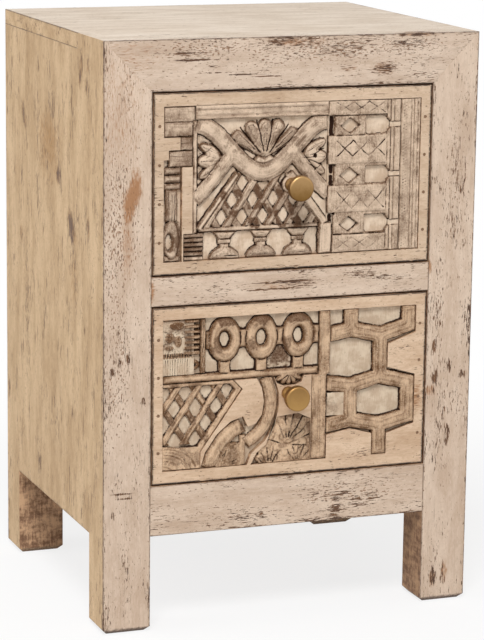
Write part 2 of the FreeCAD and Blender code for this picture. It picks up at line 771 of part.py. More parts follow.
def lattice_piece():
    """Diagonal lattice over a fragment of curved mouldings, at the lower left of the lower front."""
    outline = polygon((-137.2, 11.8), (-62, 11.8), (-52.6, 2), (-97.4, -60), (-97.4, -77.2), (-137.2, -77.2))
    region = polygon((-136.8, 11.4), (-62.4, 11.4), (-54, 2), (-94, -51.6), (-136.8, -51.6))
    relief = lattice(region, 22.4, 16.8, 6.4, (-113, -14.5))
    relief.append((FLUSH, ribbon([(-65, 12), (-56.4, 2), (-98, -57)], 5)))
    relief.append((FLUSH, slab(-136.8, 8.6, -64, 11.4)))
    for outer, inner in ((38, 32), (29, 23), (20, 14), (11, 5)):
        relief.append((LOBE, ring(-137, -78, outer, outer * 0.66, inner, inner * 0.66)))
    return outline, relief


def hook_piece():
    """Hooked band with a leaf-shaped band and a thin post beside it."""
    outline = polygon(
        (-36.4, 11.8), (-18.4, 11.8), (-13.4, -4), (-13.4, -20), (-17.6, -37), (-28, -53.6), (-42.6, -65.6),
        (-47.2, -77.2), (-96.6, -77.2), (-91.6, -61), (-79, -43), (-64.6, -31), (-51.6, -27), (-46.4, -38),
        (-37.4, -35.4), (-30.6, -26), (-28.6, -12), (-31, 2),
    )
    hook_line = [(-27, 12), (-22, -4), (-21, -18), (-25, -32), (-34, -45), (-48, -55)]
    leaf_line = [(-89, -78), (-80, -60), (-68.6, -46), (-52, -36)]
    relief = [
        (CREST, ribbon(hook_line, 13, curved=True)),
        (CREST, ribbon(leaf_line, 16, curved=True)),
        (FLUSH, slab(-54.4, -76.8, -48.6, -46)),
    ]
    leaves = ((-66, -67, 4.6, 5), (-60, -58, 3.6, 5), (-73, -73, 4.4, 3.6), (-61, -73, 3.4, 3.4))
    relief += [(LOW, oval(*leaf)) for leaf in leaves]
    return outline, relief


FLOWER_CENTRE = (-2.0, -52.0)


def flower_piece():
    """Round flower with small leaves at its left."""
    outline = polygon(
        (-14, -30), (8, -27.4), (21.8, -34), (21.8, -77.2), (-42, -77.2), (-36, -66), (-26, -58), (-20, -46)
    )
    relief = [(CREST, oval(*FLOWER_CENTRE, 5.6, 5.6))]
    for index in range(9):
        angle = 2 * math.pi * index / 9 + 0.3
        across, up = math.cos(angle), math.sin(angle)
        root = (FLOWER_CENTRE[0] + 5 * across, FLOWER_CENTRE[1] + 5 * up)
        tip = (FLOWER_CENTRE[0] + 23.4 * across, FLOWER_CENTRE[1] + 23.4 * up)
        relief += [(LOBE, face) for face in petal(root, tip, 13)]
    for x, z in ((-33, -72), (-25.6, -66), (-22, -74)):
        relief.append((LOW, oval(x, z, 4.4, 4)))
    return outline, relief


def post_piece():
    """Upright post of the lower front, stepped to the left below its middle."""
    outline = polygon(
        (31, 77.4), (43, 77.4), (43, 12), (39.4, 12), (39.4, -77.2), (23, -77.2), (23, 11.8), (31, 11.8)
    )
    relief = [(LOBE, slab(31.4, 11, 42.6, 77)), (LOBE, slab(23.4, -76.8, 39, 11.4))]
    return outline, relief


HONEYCOMB_BAR = 15.0


def honeycomb_piece():
    """Lattice of broad grooved bars round hexagonal cells, at the right of the lower front."""
    outline = polygon(
        (43.6, 77.4), (137.2, 77.4), (137.2, 49.6), (106.4, 39), (106.4, 14), (137.2, 4.6), (137.2, -46.6),
        (106.4, -55.4), (106.4, -77.2), (90.6, -77.2), (90.6, -54.4), (66, -47.4), (40, -52.3), (40, 11.4),
        (43.6, 11.4),
    )
    columns = (36.0, 66.0, 98.6, 140.0)
    zigzags = ((51, 56, 48.6, 60), (2, -3, 5, -5.6), (-43.4, -39, -46, -36.6))
    relief = [(CREST, ribbon(list(zip(columns, levels)), HONEYCOMB_BAR)) for levels in zigzags]
    uprights = ((66, 56, 78), (66, -39, -3), (98.6, 5, 48.6), (98.6, -78, -46), (130, 57, 78), (130, -38, -4))
    for x, low, high in uprights:
        relief.append((CREST, slab(x - HONEYCOMB_BAR / 2, low, x + HONEYCOMB_BAR / 2, high)))
    relief.append((LOW, oval(50.4, -21, 7.4, 10)))
    return outline, relief


def raised(face, low, high):
    """Returns the solid between two levels over a flat face."""
    lifted = face.copy()
    lifted.translate(Vector(0, 0, low))
    return lifted.extrude(Vector(0, 0, high - low))


def carved_solid(outline, relief):
    """Returns a carved piece: a ground plate with its shapes standing on it, pared flat round the knob."""
    floor, ground = -size("pocket_depth"), -size("relief_depth")
    plate = raised(outline, floor, ground)
    envelope = raised(outline, floor, size("pocket_depth"))
    root = (floor + ground) / 2
    shapes = [raised(face, root, level) for level, face in relief]
    seat = Part.makeCylinder(knob_seat_radius, size("pocket_depth"), knob_spot)
    bore_radius = size("screw_diameter") / 2 + size("hole_clearance")
    bore = Part.makeCylinder(bore_radius, 2 * size("pocket_depth"), knob_spot + Vector(0, 0, floor))
    standing = shapes[0].multiFuse(shapes[1:]).common(envelope)
    solid = plate.fuse(standing).cut(seat.fuse(bore)).removeSplitter()
    return solid


CARVINGS = {
    "upper": {
        "upper_column_piece": column_piece,
        "upper_crown_strip": crown_strip,
        "upper_ogee_piece": ogee_piece,
        "upper_diamond_piece": diamond_piece,
        "upper_edge_strip": edge_strip,
    },
    "lower": {
        "lower_ladder_piece": ladder_piece,
        "lower_ring_piece": ring_piece,
        "lower_lattice_piece": lattice_piece,
        "lower_hook_piece": hook_piece,
        "lower_flower_piece": flower_piece,
        "lower_post_piece": post_piece,
        "lower_honeycomb_piece": honeycomb_piece,
    },
}


def place_on_front(item, base):
    """Stands a flat shape up on a drawer front, about the front's middle."""
    middle = f"{base} + Sizes.drawer_opening_height / 2"
    item.Placement = Placement(Vector(), Rotation(Vector(1, 0, 0), 90))
    bind_base(item, "0", FRONT, middle)


def carve(drawer, base):
    """Makes the carved pieces of one drawer, and the tool that sinks their pocket in its front."""
    pockets = []
    for name, draw in CARVINGS[drawer].items():
        outline, relief = draw()
        carved = doc.addObject("Part::Feature", name)
        carved.Shape = carved_solid(outline, relief)
        place_on_front(carved, base)
        piece(carved)
        room = outline.makeOffset2D(size("carving_clearance"), join=2)
        pockets.append(raised(room, -size("pocket_depth"), size("pocket_depth")))
    pocket = doc.addObject("Part::Feature", f"{drawer}_pocket")
    pocket.Shape = pockets[0].multiFuse(pockets[1:]).removeSplitter()
    place_on_front(pocket, base)
    return pocket


# Drawer boxes


def front_nails(name, base, room):
    """Adds the nails through a drawer front into the ends of the drawer sides, or their holes."""
    count = int(size("front_nails_per_side"))
    column = f"({DRAWER_HALF} - Sizes.drawer_side_thickness / 2)"
    nails = []
    for side, sign in (("left", "-"), ("right", "")):
        for index in range(count):
            share = f"({index} / {count - 1} - 0.5)"
            z = f"{base} + Sizes.drawer_opening_height / 2 + Sizes.front_nail_spread * {share}"
            nails.append(
                fastener(
                    f"{name}_{side}_{index}",
                    "Sizes.nail_diameter",
                    "Sizes.nail_head_diameter",
                    "Sizes.nail_head_height",
                    "Sizes.front_nail_length",
                    (f"{sign}{column}", FRONT, z),
                    Vector(0, 1, 0),
                    room,
                )
            )
    return fuse(name, *nails)


def drawer_box(drawer, base):
    """Makes front, sides, back and bottom of one drawer, with its carved pieces and nails."""
    inner_half = f"({DRAWER_HALF} - Sizes.drawer_side_thickness)"
    side_low = f"({base} + Sizes.running_clearance)"
    side_high = f"({base} + Sizes.drawer_opening_height - Sizes.drawer_side_drop)"
    bottom_low = f"({side_low} + Sizes.bottom_groove_height)"
    bottom_high = f"({bottom_low} + Sizes.drawer_bottom_thickness)"
    groove = block(
        f"{drawer}_groove",
        (
            f"-{inner_half} - Sizes.bottom_groove_depth",
            f"{FRONT_INNER} - Sizes.bottom_groove_depth",
            f"{bottom_low} - {CLEAR}",
        ),
        (f"{inner_half} + Sizes.bottom_groove_depth", DRAWER_BACK, f"{bottom_high} + {CLEAR}"),
    )
    nail_holes = front_nails(f"{drawer}_nail_holes", base, "Sizes.hole_clearance")
    knob_height = f"{base} + Sizes.drawer_opening_height / 2 - Sizes.knob_below_middle"
    screw_bore = rod(
        f"{drawer}_screw_bore",
        "Sizes.screw_diameter / 2 + Sizes.hole_clearance",
        "Sizes.front_thickness",
        ("-Sizes.knob_left_of_middle", FRONT, knob_height),
        Vector(0, 1, 0),
    )
    front_blank = block(
        f"{drawer}_front_blank",
        (f"-{DRAWER_HALF}", FRONT, f"{base} + Sizes.drawer_gap"),
        (DRAWER_HALF, FRONT_INNER, f"{base} + Sizes.drawer_opening_height - Sizes.drawer_gap"),
    )
    pocket = carve(drawer, base)
    piece(cut(f"{drawer}_drawer_front", front_blank, pocket, groove, nail_holes, screw_bore))
    side = block(
        f"{drawer}_side_blank",
        (f"-{DRAWER_HALF}", FRONT_INNER, side_low),
        (f"-{inner_half}", DRAWER_BACK, side_high),
    )
    left = piece(cut(f"{drawer}_drawer_left_side", side, groove, nail_holes))
    piece(mirrored(f"{drawer}_drawer_right_side", left))
    piece(
        block(
            f"{drawer}_drawer_back",
            (f"-{inner_half}", f"{DRAWER_BACK} - Sizes.drawer_back_thickness", bottom_high),
            (inner_half, DRAWER_BACK, side_high),
        )
    )
    bottom_half = f"({inner_half} + Sizes.bottom_groove_depth - {CLEAR})"
    piece(
        block(
            f"{drawer}_drawer_bottom",
            (f"-{bottom_half}", f"{FRONT_INNER} - Sizes.bottom_groove_depth + {CLEAR}", bottom_low),
            (bottom_half, DRAWER_BACK, bottom_high),
        )
    )
    piece(front_nails(f"{drawer}_front_nails", base, "0"))


def knob_set(drawer, base):
    """Makes a turned knob with the screw and washer that hold it from inside the drawer."""
    across = "-Sizes.knob_left_of_middle"
    height = f"{base} + Sizes.drawer_opening_height / 2 - Sizes.knob_below_middle"
    bore = "Sizes.screw_diameter / 2 + Sizes.hole_clearance"
    flange = "Sizes.knob_flange_diameter / 2"
    neck = "Sizes.knob_neck_diameter / 2"
    face = "Sizes.knob_face_diameter / 2"
    tip = "Sizes.knob_projection"
    head_back = f"({tip} - Sizes.knob_face_thickness)"
    section = [
        ("0", "Sizes.screw_grip"),
        (bore, "Sizes.screw_grip"),
        (bore, "0"),
        (flange, "0"),
        (flange, "Sizes.knob_flange_thickness"),
        (neck, f"2 * Sizes.knob_flange_thickness"),
        (neck, f"{head_back} - Sizes.knob_flange_thickness"),
        (face, head_back),
        (face, tip),
        ("0", tip),
    ]
    knob, turning = turned(f"{drawer}_knob", section)
    rim = [
        f"Edge{number}"
        for number, edge in enumerate(turning.Shape.Edges, start=1)
        if abs(edge.BoundBox.XLength - size("knob_face_diameter")) < 1e-3 and edge.BoundBox.YLength < 1e-3
    ]
    rounding = knob.newObject("PartDesign::Fillet", f"{drawer}_knob_rim")
    rounding.Base = (turning, rim)
    rounding.setExpression("Radius", "Sizes.knob_rim_round")
    bind_base(knob, across, FRONT, height)
    piece(knob)

    washer_section = [
        (bore, "0"),
        ("Sizes.washer_diameter / 2", "0"),
        ("Sizes.washer_diameter / 2", "Sizes.washer_thickness"),
        (bore, "Sizes.washer_thickness"),
    ]
    washer, _ = turned(f"{drawer}_knob_washer", washer_section)
    bind_base(washer, across, f"{FRONT_INNER} + Sizes.washer_thickness", height)
    piece(washer)

    head = "Sizes.screw_head_diameter / 2"
    shank = "Sizes.screw_diameter / 2"
    reach = (
        "Sizes.screw_head_height + Sizes.washer_thickness + Sizes.front_thickness"
        " + Sizes.screw_grip - Sizes.screw_tip_gap"
    )
    screw_section = [
        ("0", "0"),
        (head, "0"),
        (head, "Sizes.screw_head_height"),
        (shank, "Sizes.screw_head_height"),
        (shank, reach),
        ("0", reach),
    ]
    screw, _ = turned(f"{drawer}_knob_screw", screw_section)
    bind_base(screw, across, f"{FRONT_INNER} + Sizes.washer_thickness + Sizes.screw_head_height", height)
    piece(screw)


for drawer, base in DRAWERS.items():
    drawer_box(drawer, base)
    knob_set(drawer, base)

# Every object is whole before any sub-part is written

doc.recompute()
for item in doc.Objects:
    if {"Invalid", "Error"} & set(item.State):
        raise RuntimeError(f"{item.Label} failed: {item.State}")
os.makedirs("parts", exist_ok=True)
for item in pieces:
    if item.Shape.isNull() or not item.Shape.isValid() or not item.Shape.Solids:
        raise RuntimeError(f"{item.Label} has no valid shape")
for item in pieces:
    item.Shape.exportStep(os.path.join("parts", f"{item.Label}.step"))
    bounds = item.Shape.BoundBox
    extent = f"{bounds.XLength:.1f} x {bounds.YLength:.1f} x {bounds.ZLength:.1f}"
    print(f"{item.Label}: {len(item.Shape.Solids)} solids, {extent}")
print(f"{len(pieces)} sub-parts")
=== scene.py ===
"""Carved two-drawer nightstand in worn whitewash, with old carved pieces let into the drawer fronts."""

import logging
import math
from dataclasses import dataclass, field, replace
from enum import Enum
from typing import ClassVar, Optional, Union

import bmesh
import bpy
import numpy as np
from mathutils import Matrix, Vector
from mathutils.kdtree import KDTree


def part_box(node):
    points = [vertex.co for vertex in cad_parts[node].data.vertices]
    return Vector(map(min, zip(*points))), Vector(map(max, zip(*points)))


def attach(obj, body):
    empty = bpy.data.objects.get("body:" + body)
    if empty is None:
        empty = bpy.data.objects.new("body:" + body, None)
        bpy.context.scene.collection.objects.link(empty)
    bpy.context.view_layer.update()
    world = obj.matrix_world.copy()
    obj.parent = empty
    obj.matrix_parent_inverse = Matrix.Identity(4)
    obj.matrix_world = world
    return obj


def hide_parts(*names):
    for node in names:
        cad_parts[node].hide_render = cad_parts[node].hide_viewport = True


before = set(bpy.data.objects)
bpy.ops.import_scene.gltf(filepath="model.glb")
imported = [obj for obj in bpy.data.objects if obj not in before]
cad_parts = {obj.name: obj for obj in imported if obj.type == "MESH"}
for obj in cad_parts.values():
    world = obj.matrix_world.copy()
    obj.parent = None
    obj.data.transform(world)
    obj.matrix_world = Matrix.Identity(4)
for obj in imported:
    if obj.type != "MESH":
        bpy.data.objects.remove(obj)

LOG = logging.getLogger("nightstand")
MILLIMETRES = 1000.0
Colour = tuple[float, float, float, float]
Point = tuple[float, float]
Number = Union[float, "Signal"]
Tint = Union[Colour, "Signal"]


def shade(red: int, green: int, blue: int) -> Colour:
    """Turns a colour as seen on a screen into light amounts.

    Args:
        red: Red from 0 to 255.
        green: Green from 0 to 255.
        blue: Blue from 0 to 255.

    Returns:
        The colour's linear red, green and blue, with full opacity.
    """
    parts = [part / 255.0 for part in (red, green, blue)]
    linear = [part / 12.92 if part <= 0.04045 else ((part + 0.055) / 1.055) ** 2.4 for part in parts]
    return (linear[0], linear[1], linear[2], 1.0)


class Grain(Enum):
    """Axis along which the fibres of a board run."""

    SIDEWAYS = 0
    DEEP = 1
    UPRIGHT = 2

    def scales(self, across: float, along: float) -> tuple[float, float, float]:
        """Returns noise scales that are stretched along the fibres."""
        return tuple(along if axis == self.value else across for axis in range(3))


class Side(Enum):
    """Direction that a face of a board looks in: axis and sign."""

    LEFT = (0, -1.0)
    RIGHT = (0, 1.0)
    FRONT = (1, -1.0)
    BACK = (1, 1.0)
    BELOW = (2, -1.0)
    ABOVE = (2, 1.0)


class Signal:
    """A number, colour or vector on its way through the nodes of a material."""

    field_middle = 0.5

    def __init__(self, nodes: "Nodes", socket: bpy.types.NodeSocket) -> None:
        """Keeps the nodes and the socket that gives the value."""
        self.nodes = nodes
        self.socket = socket

    def _math(self, operation: str, first: Number, second: Number) -> "Signal":
        """Returns the result of one sum on two numbers."""
        return self.nodes.take(0, "ShaderNodeMath", {"operation": operation}, {0: first, 1: second})

    def __add__(self, other: Number) -> "Signal":
        """Returns self + other."""
        return self._math("ADD", self, other)

    def __radd__(self, other: Number) -> "Signal":
        """Returns other + self."""
        return self._math("ADD", other, self)

    def __sub__(self, other: Number) -> "Signal":
        """Returns self - other."""
        return self._math("SUBTRACT", self, other)

    def __rsub__(self, other: Number) -> "Signal":
        """Returns other - self."""
        return self._math("SUBTRACT", other, self)

    def __mul__(self, other: Number) -> "Signal":
        """Returns self times other."""
        return self._math("MULTIPLY", self, other)

    def __rmul__(self, other: Number) -> "Signal":
        """Returns other times self."""
        return self._math("MULTIPLY", other, self)

    def least(self, other: Number) -> "Signal":
        """Returns the smaller of the two."""
        return self._math("MINIMUM", self, other)

    def most(self, other: Number) -> "Signal":
        """Returns the larger of the two."""
        return self._math("MAXIMUM", self, other)

    def sine(self) -> "Signal":
        """Returns the sine of the number."""
        return self._math("SINE", self, 0.0)

    def swing(self, amount: float) -> "Signal":
        """Returns how far a random field is above its middle, times an amount."""
        return (self - self.field_middle) * amount

    def fade(self, low: float, high: float) -> "Signal":
        """Returns a soft step that is 0 at low and 1 at high, which may be the smaller one.

        Args:
            low: The value where the step starts.
            high: The value where the step ends.

        Returns:
            A signal from 0 to 1.
        """
        limits = {"Value": self, "From Min": min(low, high), "From Max": max(low, high)}
        step = self.nodes.take(0, "ShaderNodeMapRange", {"interpolation_type": "SMOOTHSTEP"}, limits)
        return step if low < high else 1.0 - step


class Nodes:
    """The nodes of one material, or of the world."""

    def __init__(self, owner: Union[bpy.types.Material, bpy.types.World]) -> None:
        """Clears the nodes of a material or world.

        Args:
            owner: The material or world.
        """
        owner.use_nodes = True
        self.tree = owner.node_tree
        self.tree.nodes.clear()

    def add(
        self, kind: str, settings: Optional[dict] = None, sockets: Optional[dict] = None
    ) -> bpy.types.Node:
        """Adds a node.

        Args:
            kind: The node's type.
            settings: The node's own settings, which are set first.
            sockets: The values or signals of its inputs, by name or number.

        Returns:
            The new node.
        """
        node = self.tree.nodes.new(kind)
        for name, setting in (settings or {}).items():
            setattr(node, name, setting)
        for name, source in (sockets or {}).items():
            self.feed(node.inputs[name], source)
        return node

    def take(
        self,
        output: Union[int, str],
        kind: str,
        settings: Optional[dict] = None,
        sockets: Optional[dict] = None,
    ) -> Signal:
        """Adds a node and takes one of its outputs, by name or number."""
        return Signal(self, self.add(kind, settings, sockets).outputs[output])

    def feed(self, socket: bpy.types.NodeSocket, source: Union[Number, Tint]) -> None:
        """Links a signal to an input, or sets the input to a plain value.

        Args:
            socket: The input.
            source: The signal or the value.
        """
        if isinstance(source, Signal):
            self.tree.links.new(source.socket, socket)
        else:
            socket.default_value = source

    def vector(self, operation: str, first: Signal, second: Union[float, tuple]) -> Signal:
        """Returns the result of one sum on a vector and a vector, or a vector and a factor."""
        sockets = {0: first, "Scale" if operation == "SCALE" else 1: second}
        return self.take("Vector", "ShaderNodeVectorMath", {"operation": operation}, sockets)

    def length(self, vector: Signal) -> Signal:
        """Returns the length of a vector."""
        return self.take("Value", "ShaderNodeVectorMath", {"operation": "LENGTH"}, {0: vector})

    def parts(self, vector: Signal) -> list[Signal]:
        """Returns the x, y and z of a vector."""
        node = self.add("ShaderNodeSeparateXYZ", None, {0: vector})
        return [Signal(self, output) for output in node.outputs]

    def blend(self, amount: Number, first: Tint, second: Tint) -> Signal:
        """Returns the first colour where the amount is 0, and the second where it is 1."""
        settings = {"data_type": "RGBA", "clamp_factor": True}
        return self.take(2, "ShaderNodeMix", settings, {0: amount, 6: first, 7: second})

    def seen_straight(self) -> Signal:
        """Finds what the camera sees straight, in metal or through glass.

        Returns:
            1 there, and 0 for the light that falls on the object.
        """
        path = self.add("ShaderNodeLightPath")
        seen = Signal(self, path.outputs["Is Camera Ray"])
        for name in ("Is Glossy Ray", "Is Transmission Ray"):
            seen = seen.most(Signal(self, path.outputs[name]))
        return seen


class Graph(Nodes):
    """The nodes of a finish, with a Principled shader at their end."""

    def __init__(self, name: str) -> None:
        """Starts a material.

        Args:
            name: The material's name.
        """
        self.material = bpy.data.materials.new(name)
        super().__init__(self.material)
        self.shader = self.add("ShaderNodeBsdfPrincipled")
        self.add("ShaderNodeOutputMaterial", None, {"Surface": Signal(self, self.shader.outputs[0])})

    def place(self) -> Signal:
        """Returns the place on the piece, in millimetres of its own frame."""
        return self.vector("SCALE", self.take("Object", "ShaderNodeTexCoord"), MILLIMETRES)

    def normal(self) -> Signal:
        """Returns the direction that the surface faces."""
        return self.take("True Normal", "ShaderNodeNewGeometry")

    def mask(self, name: str) -> Signal:
        """Returns a number that the mesh holds at each vertex."""
        return self.take("Fac", "ShaderNodeAttribute", {"attribute_name": name})

    def shine(self, name: str, amount: Number) -> None:
        """Feeds one more input of the shader."""
        self.feed(self.shader.inputs[name], amount)

    def finish(self, colour: Tint, roughness: Number, height: Signal, depth: float) -> bpy.types.Material:
        """Feeds the shader its colour, roughness and fine relief.

        Args:
            colour: The base colour.
            roughness: The roughness.
            height: The height of the fine relief, from 0 to 1.
            depth: The depth of that relief, in millimetres.

        Returns:
            The finished material.
        """
        relief = {"Strength": 1.0, "Distance": depth / MILLIMETRES, "Height": height}
        self.shine("Base Color", colour)
        self.shine("Roughness", roughness)
        self.shine("Normal", self.take(0, "ShaderNodeBump", None, relief))
        return self.material


@dataclass(frozen=True)
class Layer:
    """A cloudy random field of a finish, from about 0.2 to 0.8 with its middle at 0.5.

    Attributes:
        across: Its features per millimetre across the grain.
        along: Its features per millimetre along the grain.
        step: What it adds to the seed of its piece.
        detail: The number of its finer layers.
        rough: The weight of the finer layers.
    """

    across: float
    along: float
    step: float
    detail: float = 4.0
    rough: float = 0.6

    seed_shift: ClassVar[tuple[float, float, float]] = (137.0, 71.0, 193.0)

    def spread(self, nodes: Nodes, place: Signal, seed: float, grain: Grain = Grain.UPRIGHT) -> Signal:
        """Lays the field over a piece.

        Args:
            nodes: The material's nodes.
            place: The place on the piece, in millimetres.
            seed: A number that gives each piece its own field.
            grain: The axis along which the fibres run.

        Returns:
            The field.
        """
        moved = nodes.vector("ADD", place, tuple((seed + self.step) * shift for shift in self.seed_shift))
        sockets = {
            "Vector": nodes.vector("MULTIPLY", moved, grain.scales(self.across, self.along)),
            "Scale": 1.0,
            "Detail": self.detail,
            "Roughness": self.rough,
        }
        return nodes.take(0, "ShaderNodeTexNoise", None, sockets)


@dataclass(frozen=True)
class WornPatch:
    """A place where the wash is rubbed through.

    Attributes:
        centre: Its middle, in millimetres of the frame.
        reach: How far it goes along x, y and z, in millimetres.
        strength: How much of the wash is gone in its middle, up to about 1.
        glow: How much of the warm stain shows round it.
        specks: How thickly it is set with specks, up to 1.
    """

    centre: tuple[float, float, float]
    reach: tuple[float, float, float]
    strength: float
    glow: float = 0.0
    specks: float = 0.0


@dataclass(frozen=True)
class Coat:
    """Colours of the wash on one face of a board, and how much the wood's figure shows through it.

    Attributes:
        pale: The thick wash.
        dull: The thin wash.
        streak: The fibres that show through it.
        figure: How much of the rings shows.
        dashes: How dark the broad dashes along the grain are.
    """

    pale: Colour
    dull: Colour
    streak: Colour
    figure: float = 0.25
    dashes: float = 0.0


@dataclass(frozen=True)
class Whitewash:
    """Thin cream wash over brown wood, chipped along the grain and rubbed off at the edges.

    Attributes:
        coat: The wash on most faces.
        coats: The wash on the faces that look to some sides.
        raw_faces: Sides whose faces were never washed.
        joined: Sides that meet another board, so that their edges aren't worn.
        grain: The axis along which the fibres run.
        seed: A number that gives the board its own grain. Boards with the same number match at their seams.
        wear: How much more is chipped than usual.
        edge_wear: How much is chipped along the edges.
        edge_line: How dark the edges themselves are.
        edge_reach: How far that dark goes, in millimetres.
        edge_grime_and_shade: The colour of that dark: grime, with painted shade of the gaps round the
            drawers.
        warm: The warm stain.
        raw_light: The palest unwashed wood.
        patches: Worn places.
    """

    coat: Coat
    coats: tuple[tuple[Side, Coat], ...] = ()
    raw_faces: tuple[Side, ...] = ()
    joined: tuple[Side, ...] = ()
    grain: Grain = Grain.UPRIGHT
    seed: float = 0.0
    wear: float = 0.0
    edge_wear: float = 0.5
    edge_line: float = 0.3
    edge_reach: float = 1.5
    edge_grime_and_shade: Colour = shade(60, 36, 21)
    warm: Colour = shade(156, 108, 67)
    raw_light: Colour = shade(204, 166, 130)
    patches: tuple[WornPatch, ...] = ()

    bare_dark: ClassVar[Colour] = shade(60, 36, 21)
    bare_light: ClassVar[Colour] = shade(118, 82, 52)
    speck_brown: ClassVar[Colour] = shade(134, 94, 62)
    raw_dark: ClassVar[Colour] = shade(116, 82, 58)
    fibre: ClassVar[Layer] = Layer(0.5, 0.016, 0.0, 6.0, 0.7)
    cloud: ClassVar[Layer] = Layer(0.05, 0.012, 3.0)
    fleck: ClassVar[Layer] = Layer(0.95, 0.13, 5.0, 4.0, 0.64)
    cluster: ClassVar[Layer] = Layer(0.05, 0.018, 7.0, 2.0)
    scratch: ClassVar[Layer] = Layer(0.95, 0.02, 9.0, 3.0)
    mottle: ClassVar[Layer] = Layer(0.3, 0.12, 11.0, 6.0, 0.72)
    dot: ClassVar[Layer] = Layer(0.75, 0.3, 13.0, 2.0, 0.5)
    dash: ClassVar[Layer] = Layer(0.21, 0.036, 15.0)
    band: ClassVar[Layer] = Layer(0.03, 0.09, 17.0, 5.0, 0.7)

    def near_edge(self, graph: Graph, place: Signal, low: Vector, high: Vector) -> Signal:
        """Returns how far a point is from the nearest free edge of its board.

        Args:
            graph: The material's nodes.
            place: The place on the board.
            low: The board's lowest corner, in metres.
            high: The board's highest corner, in metres.

        Returns:
            The distance in millimetres.
        """
        far = 1000.0
        parts = graph.parts(place)
        pairs = ((Side.LEFT, Side.RIGHT), (Side.FRONT, Side.BACK), (Side.BELOW, Side.ABOVE))
        gaps: list[Number] = []
        for axis, (low_side, high_side) in enumerate(pairs):
            gap: Number = far
            if low_side not in self.joined:
                gap = parts[axis] - low[axis] * MILLIMETRES
            if high_side not in self.joined:
                gap = (high[axis] * MILLIMETRES - parts[axis]).least(gap)
            gaps.append(gap if isinstance(gap, Signal) else parts[axis] * 0.0 + far)
        first, second, third = gaps
        return first.least(second).most(first.most(second).least(third))

    def looks(self, graph: Graph, side: Side) -> Signal:
        """Returns 1 on the faces that look to one side."""
        axis, sign = side.value
        return (graph.parts(graph.normal())[axis] * sign).fade(0.6, 0.85)

    def colours(
        self, graph: Graph, amount: Signal, streaks: Signal, figure: Signal, dashes: Signal
    ) -> Signal:
        """Mixes the wash of each face.

        Args:
            graph: The material's nodes.
            amount: How pale the wash is.
            streaks: How much of the streaks shows.
            figure: Where the wood's figure is dark.
            dashes: Where the broad dashes are dark.

        Returns:
            The colour of the wash.
        """
        pale: Tint = self.coat.pale
        dull: Tint = self.coat.dull
        streak: Tint = self.coat.streak
        shown: Number = self.coat.figure
        dashed: Number = self.coat.dashes
        for side, coat in self.coats:
            there = self.looks(graph, side)
            pale = graph.blend(there, pale, coat.pale)
            dull = graph.blend(there, dull, coat.dull)
            streak = graph.blend(there, streak, coat.streak)
            shown = there * (coat.figure - shown) + shown
            dashed = there * (coat.dashes - dashed) + dashed
        streaks = streaks.most(figure * shown).most(dashes * dashed)
        return graph.blend(streaks, graph.blend(amount, dull, pale), streak)

    def worn(self, graph: Graph, place: Signal) -> tuple[Number, Number, Number]:
        """Adds up the worn places.

        Args:
            graph: The material's nodes.
            place: The place on the board.

        Returns:
            How far the wash is rubbed off, how much of the warm stain shows, and how thick the specks are.
        """
        rubbed: Number = 0.0
        glow: Number = 0.0
        specks: Number = 0.0
        for patch in self.patches:
            offset = graph.vector("SUBTRACT", place, patch.centre)
            inside = graph.length(graph.vector("DIVIDE", offset, patch.reach)).fade(1.25, 0.15)
            rubbed = inside * patch.strength + rubbed
            if patch.glow:
                glow = inside * patch.glow + glow
            if patch.specks:
                specks = inside * patch.specks + specks
        return rubbed, glow, specks

    def material(self, name: str, low: Vector, high: Vector) -> bpy.types.Material:
        """Makes the finish for one board.

        Args:
            name: The material's name.
            low: The board's lowest corner, in metres.
            high: The board's highest corner, in metres.

        Returns:
            The material.
        """
        graph = Graph(name)
        place = graph.place()
        broad = (self.fibre, self.cloud, self.cluster, self.dash)
        fine = (self.fleck, self.scratch, self.mottle, self.dot)
        fields = [layer.spread(graph, place, self.seed, self.grain) for layer in broad + fine]
        fibre, cloud, cluster, dash, fleck, scratch, mottle, dot = fields
        gap = self.near_edge(graph, place, low, high)
        edge = gap.fade(5.0, 0.4) * self.edge_wear
        rubbed, glow, specks = self.worn(graph, place)

        # Chips, scratches and specks
        chips = (fleck + cluster.swing(0.4) + edge * 0.15 + rubbed * 0.2 + self.wear).fade(0.65, 0.69)
        lines = (scratch + cluster.swing(0.2)).fade(0.68, 0.74) * 0.55
        dots = (dot + cloud.swing(0.2) + edge * 0.06 + specks * 0.14 + self.wear).fade(0.7, 0.745) * 0.8
        bald = chips.most(lines)

        # The wash, with the wood's figure and the warm stain in it
        amount = (cloud * 0.45 + fibre * 0.3 + mottle * 0.25).fade(0.36, 0.62)
        rings = (cloud * 110.0 + fibre * 14.0).sine().fade(0.1, 1.0) * fibre.fade(0.4, 0.6)
        dashes = (dash + cluster.swing(0.45)).fade(0.605, 0.71)
        wash = self.colours(graph, amount, fibre.fade(0.54, 0.74) * 0.5, rings, dashes)
        if isinstance(glow, Signal):
            ragged = fleck.swing(2.2) + mottle.swing(1.8)
            soaked = (glow + ragged).fade(0.25, 1.1) * glow.fade(0.02, 0.35) * 0.92
            wash = graph.blend(soaked, wash, self.warm)
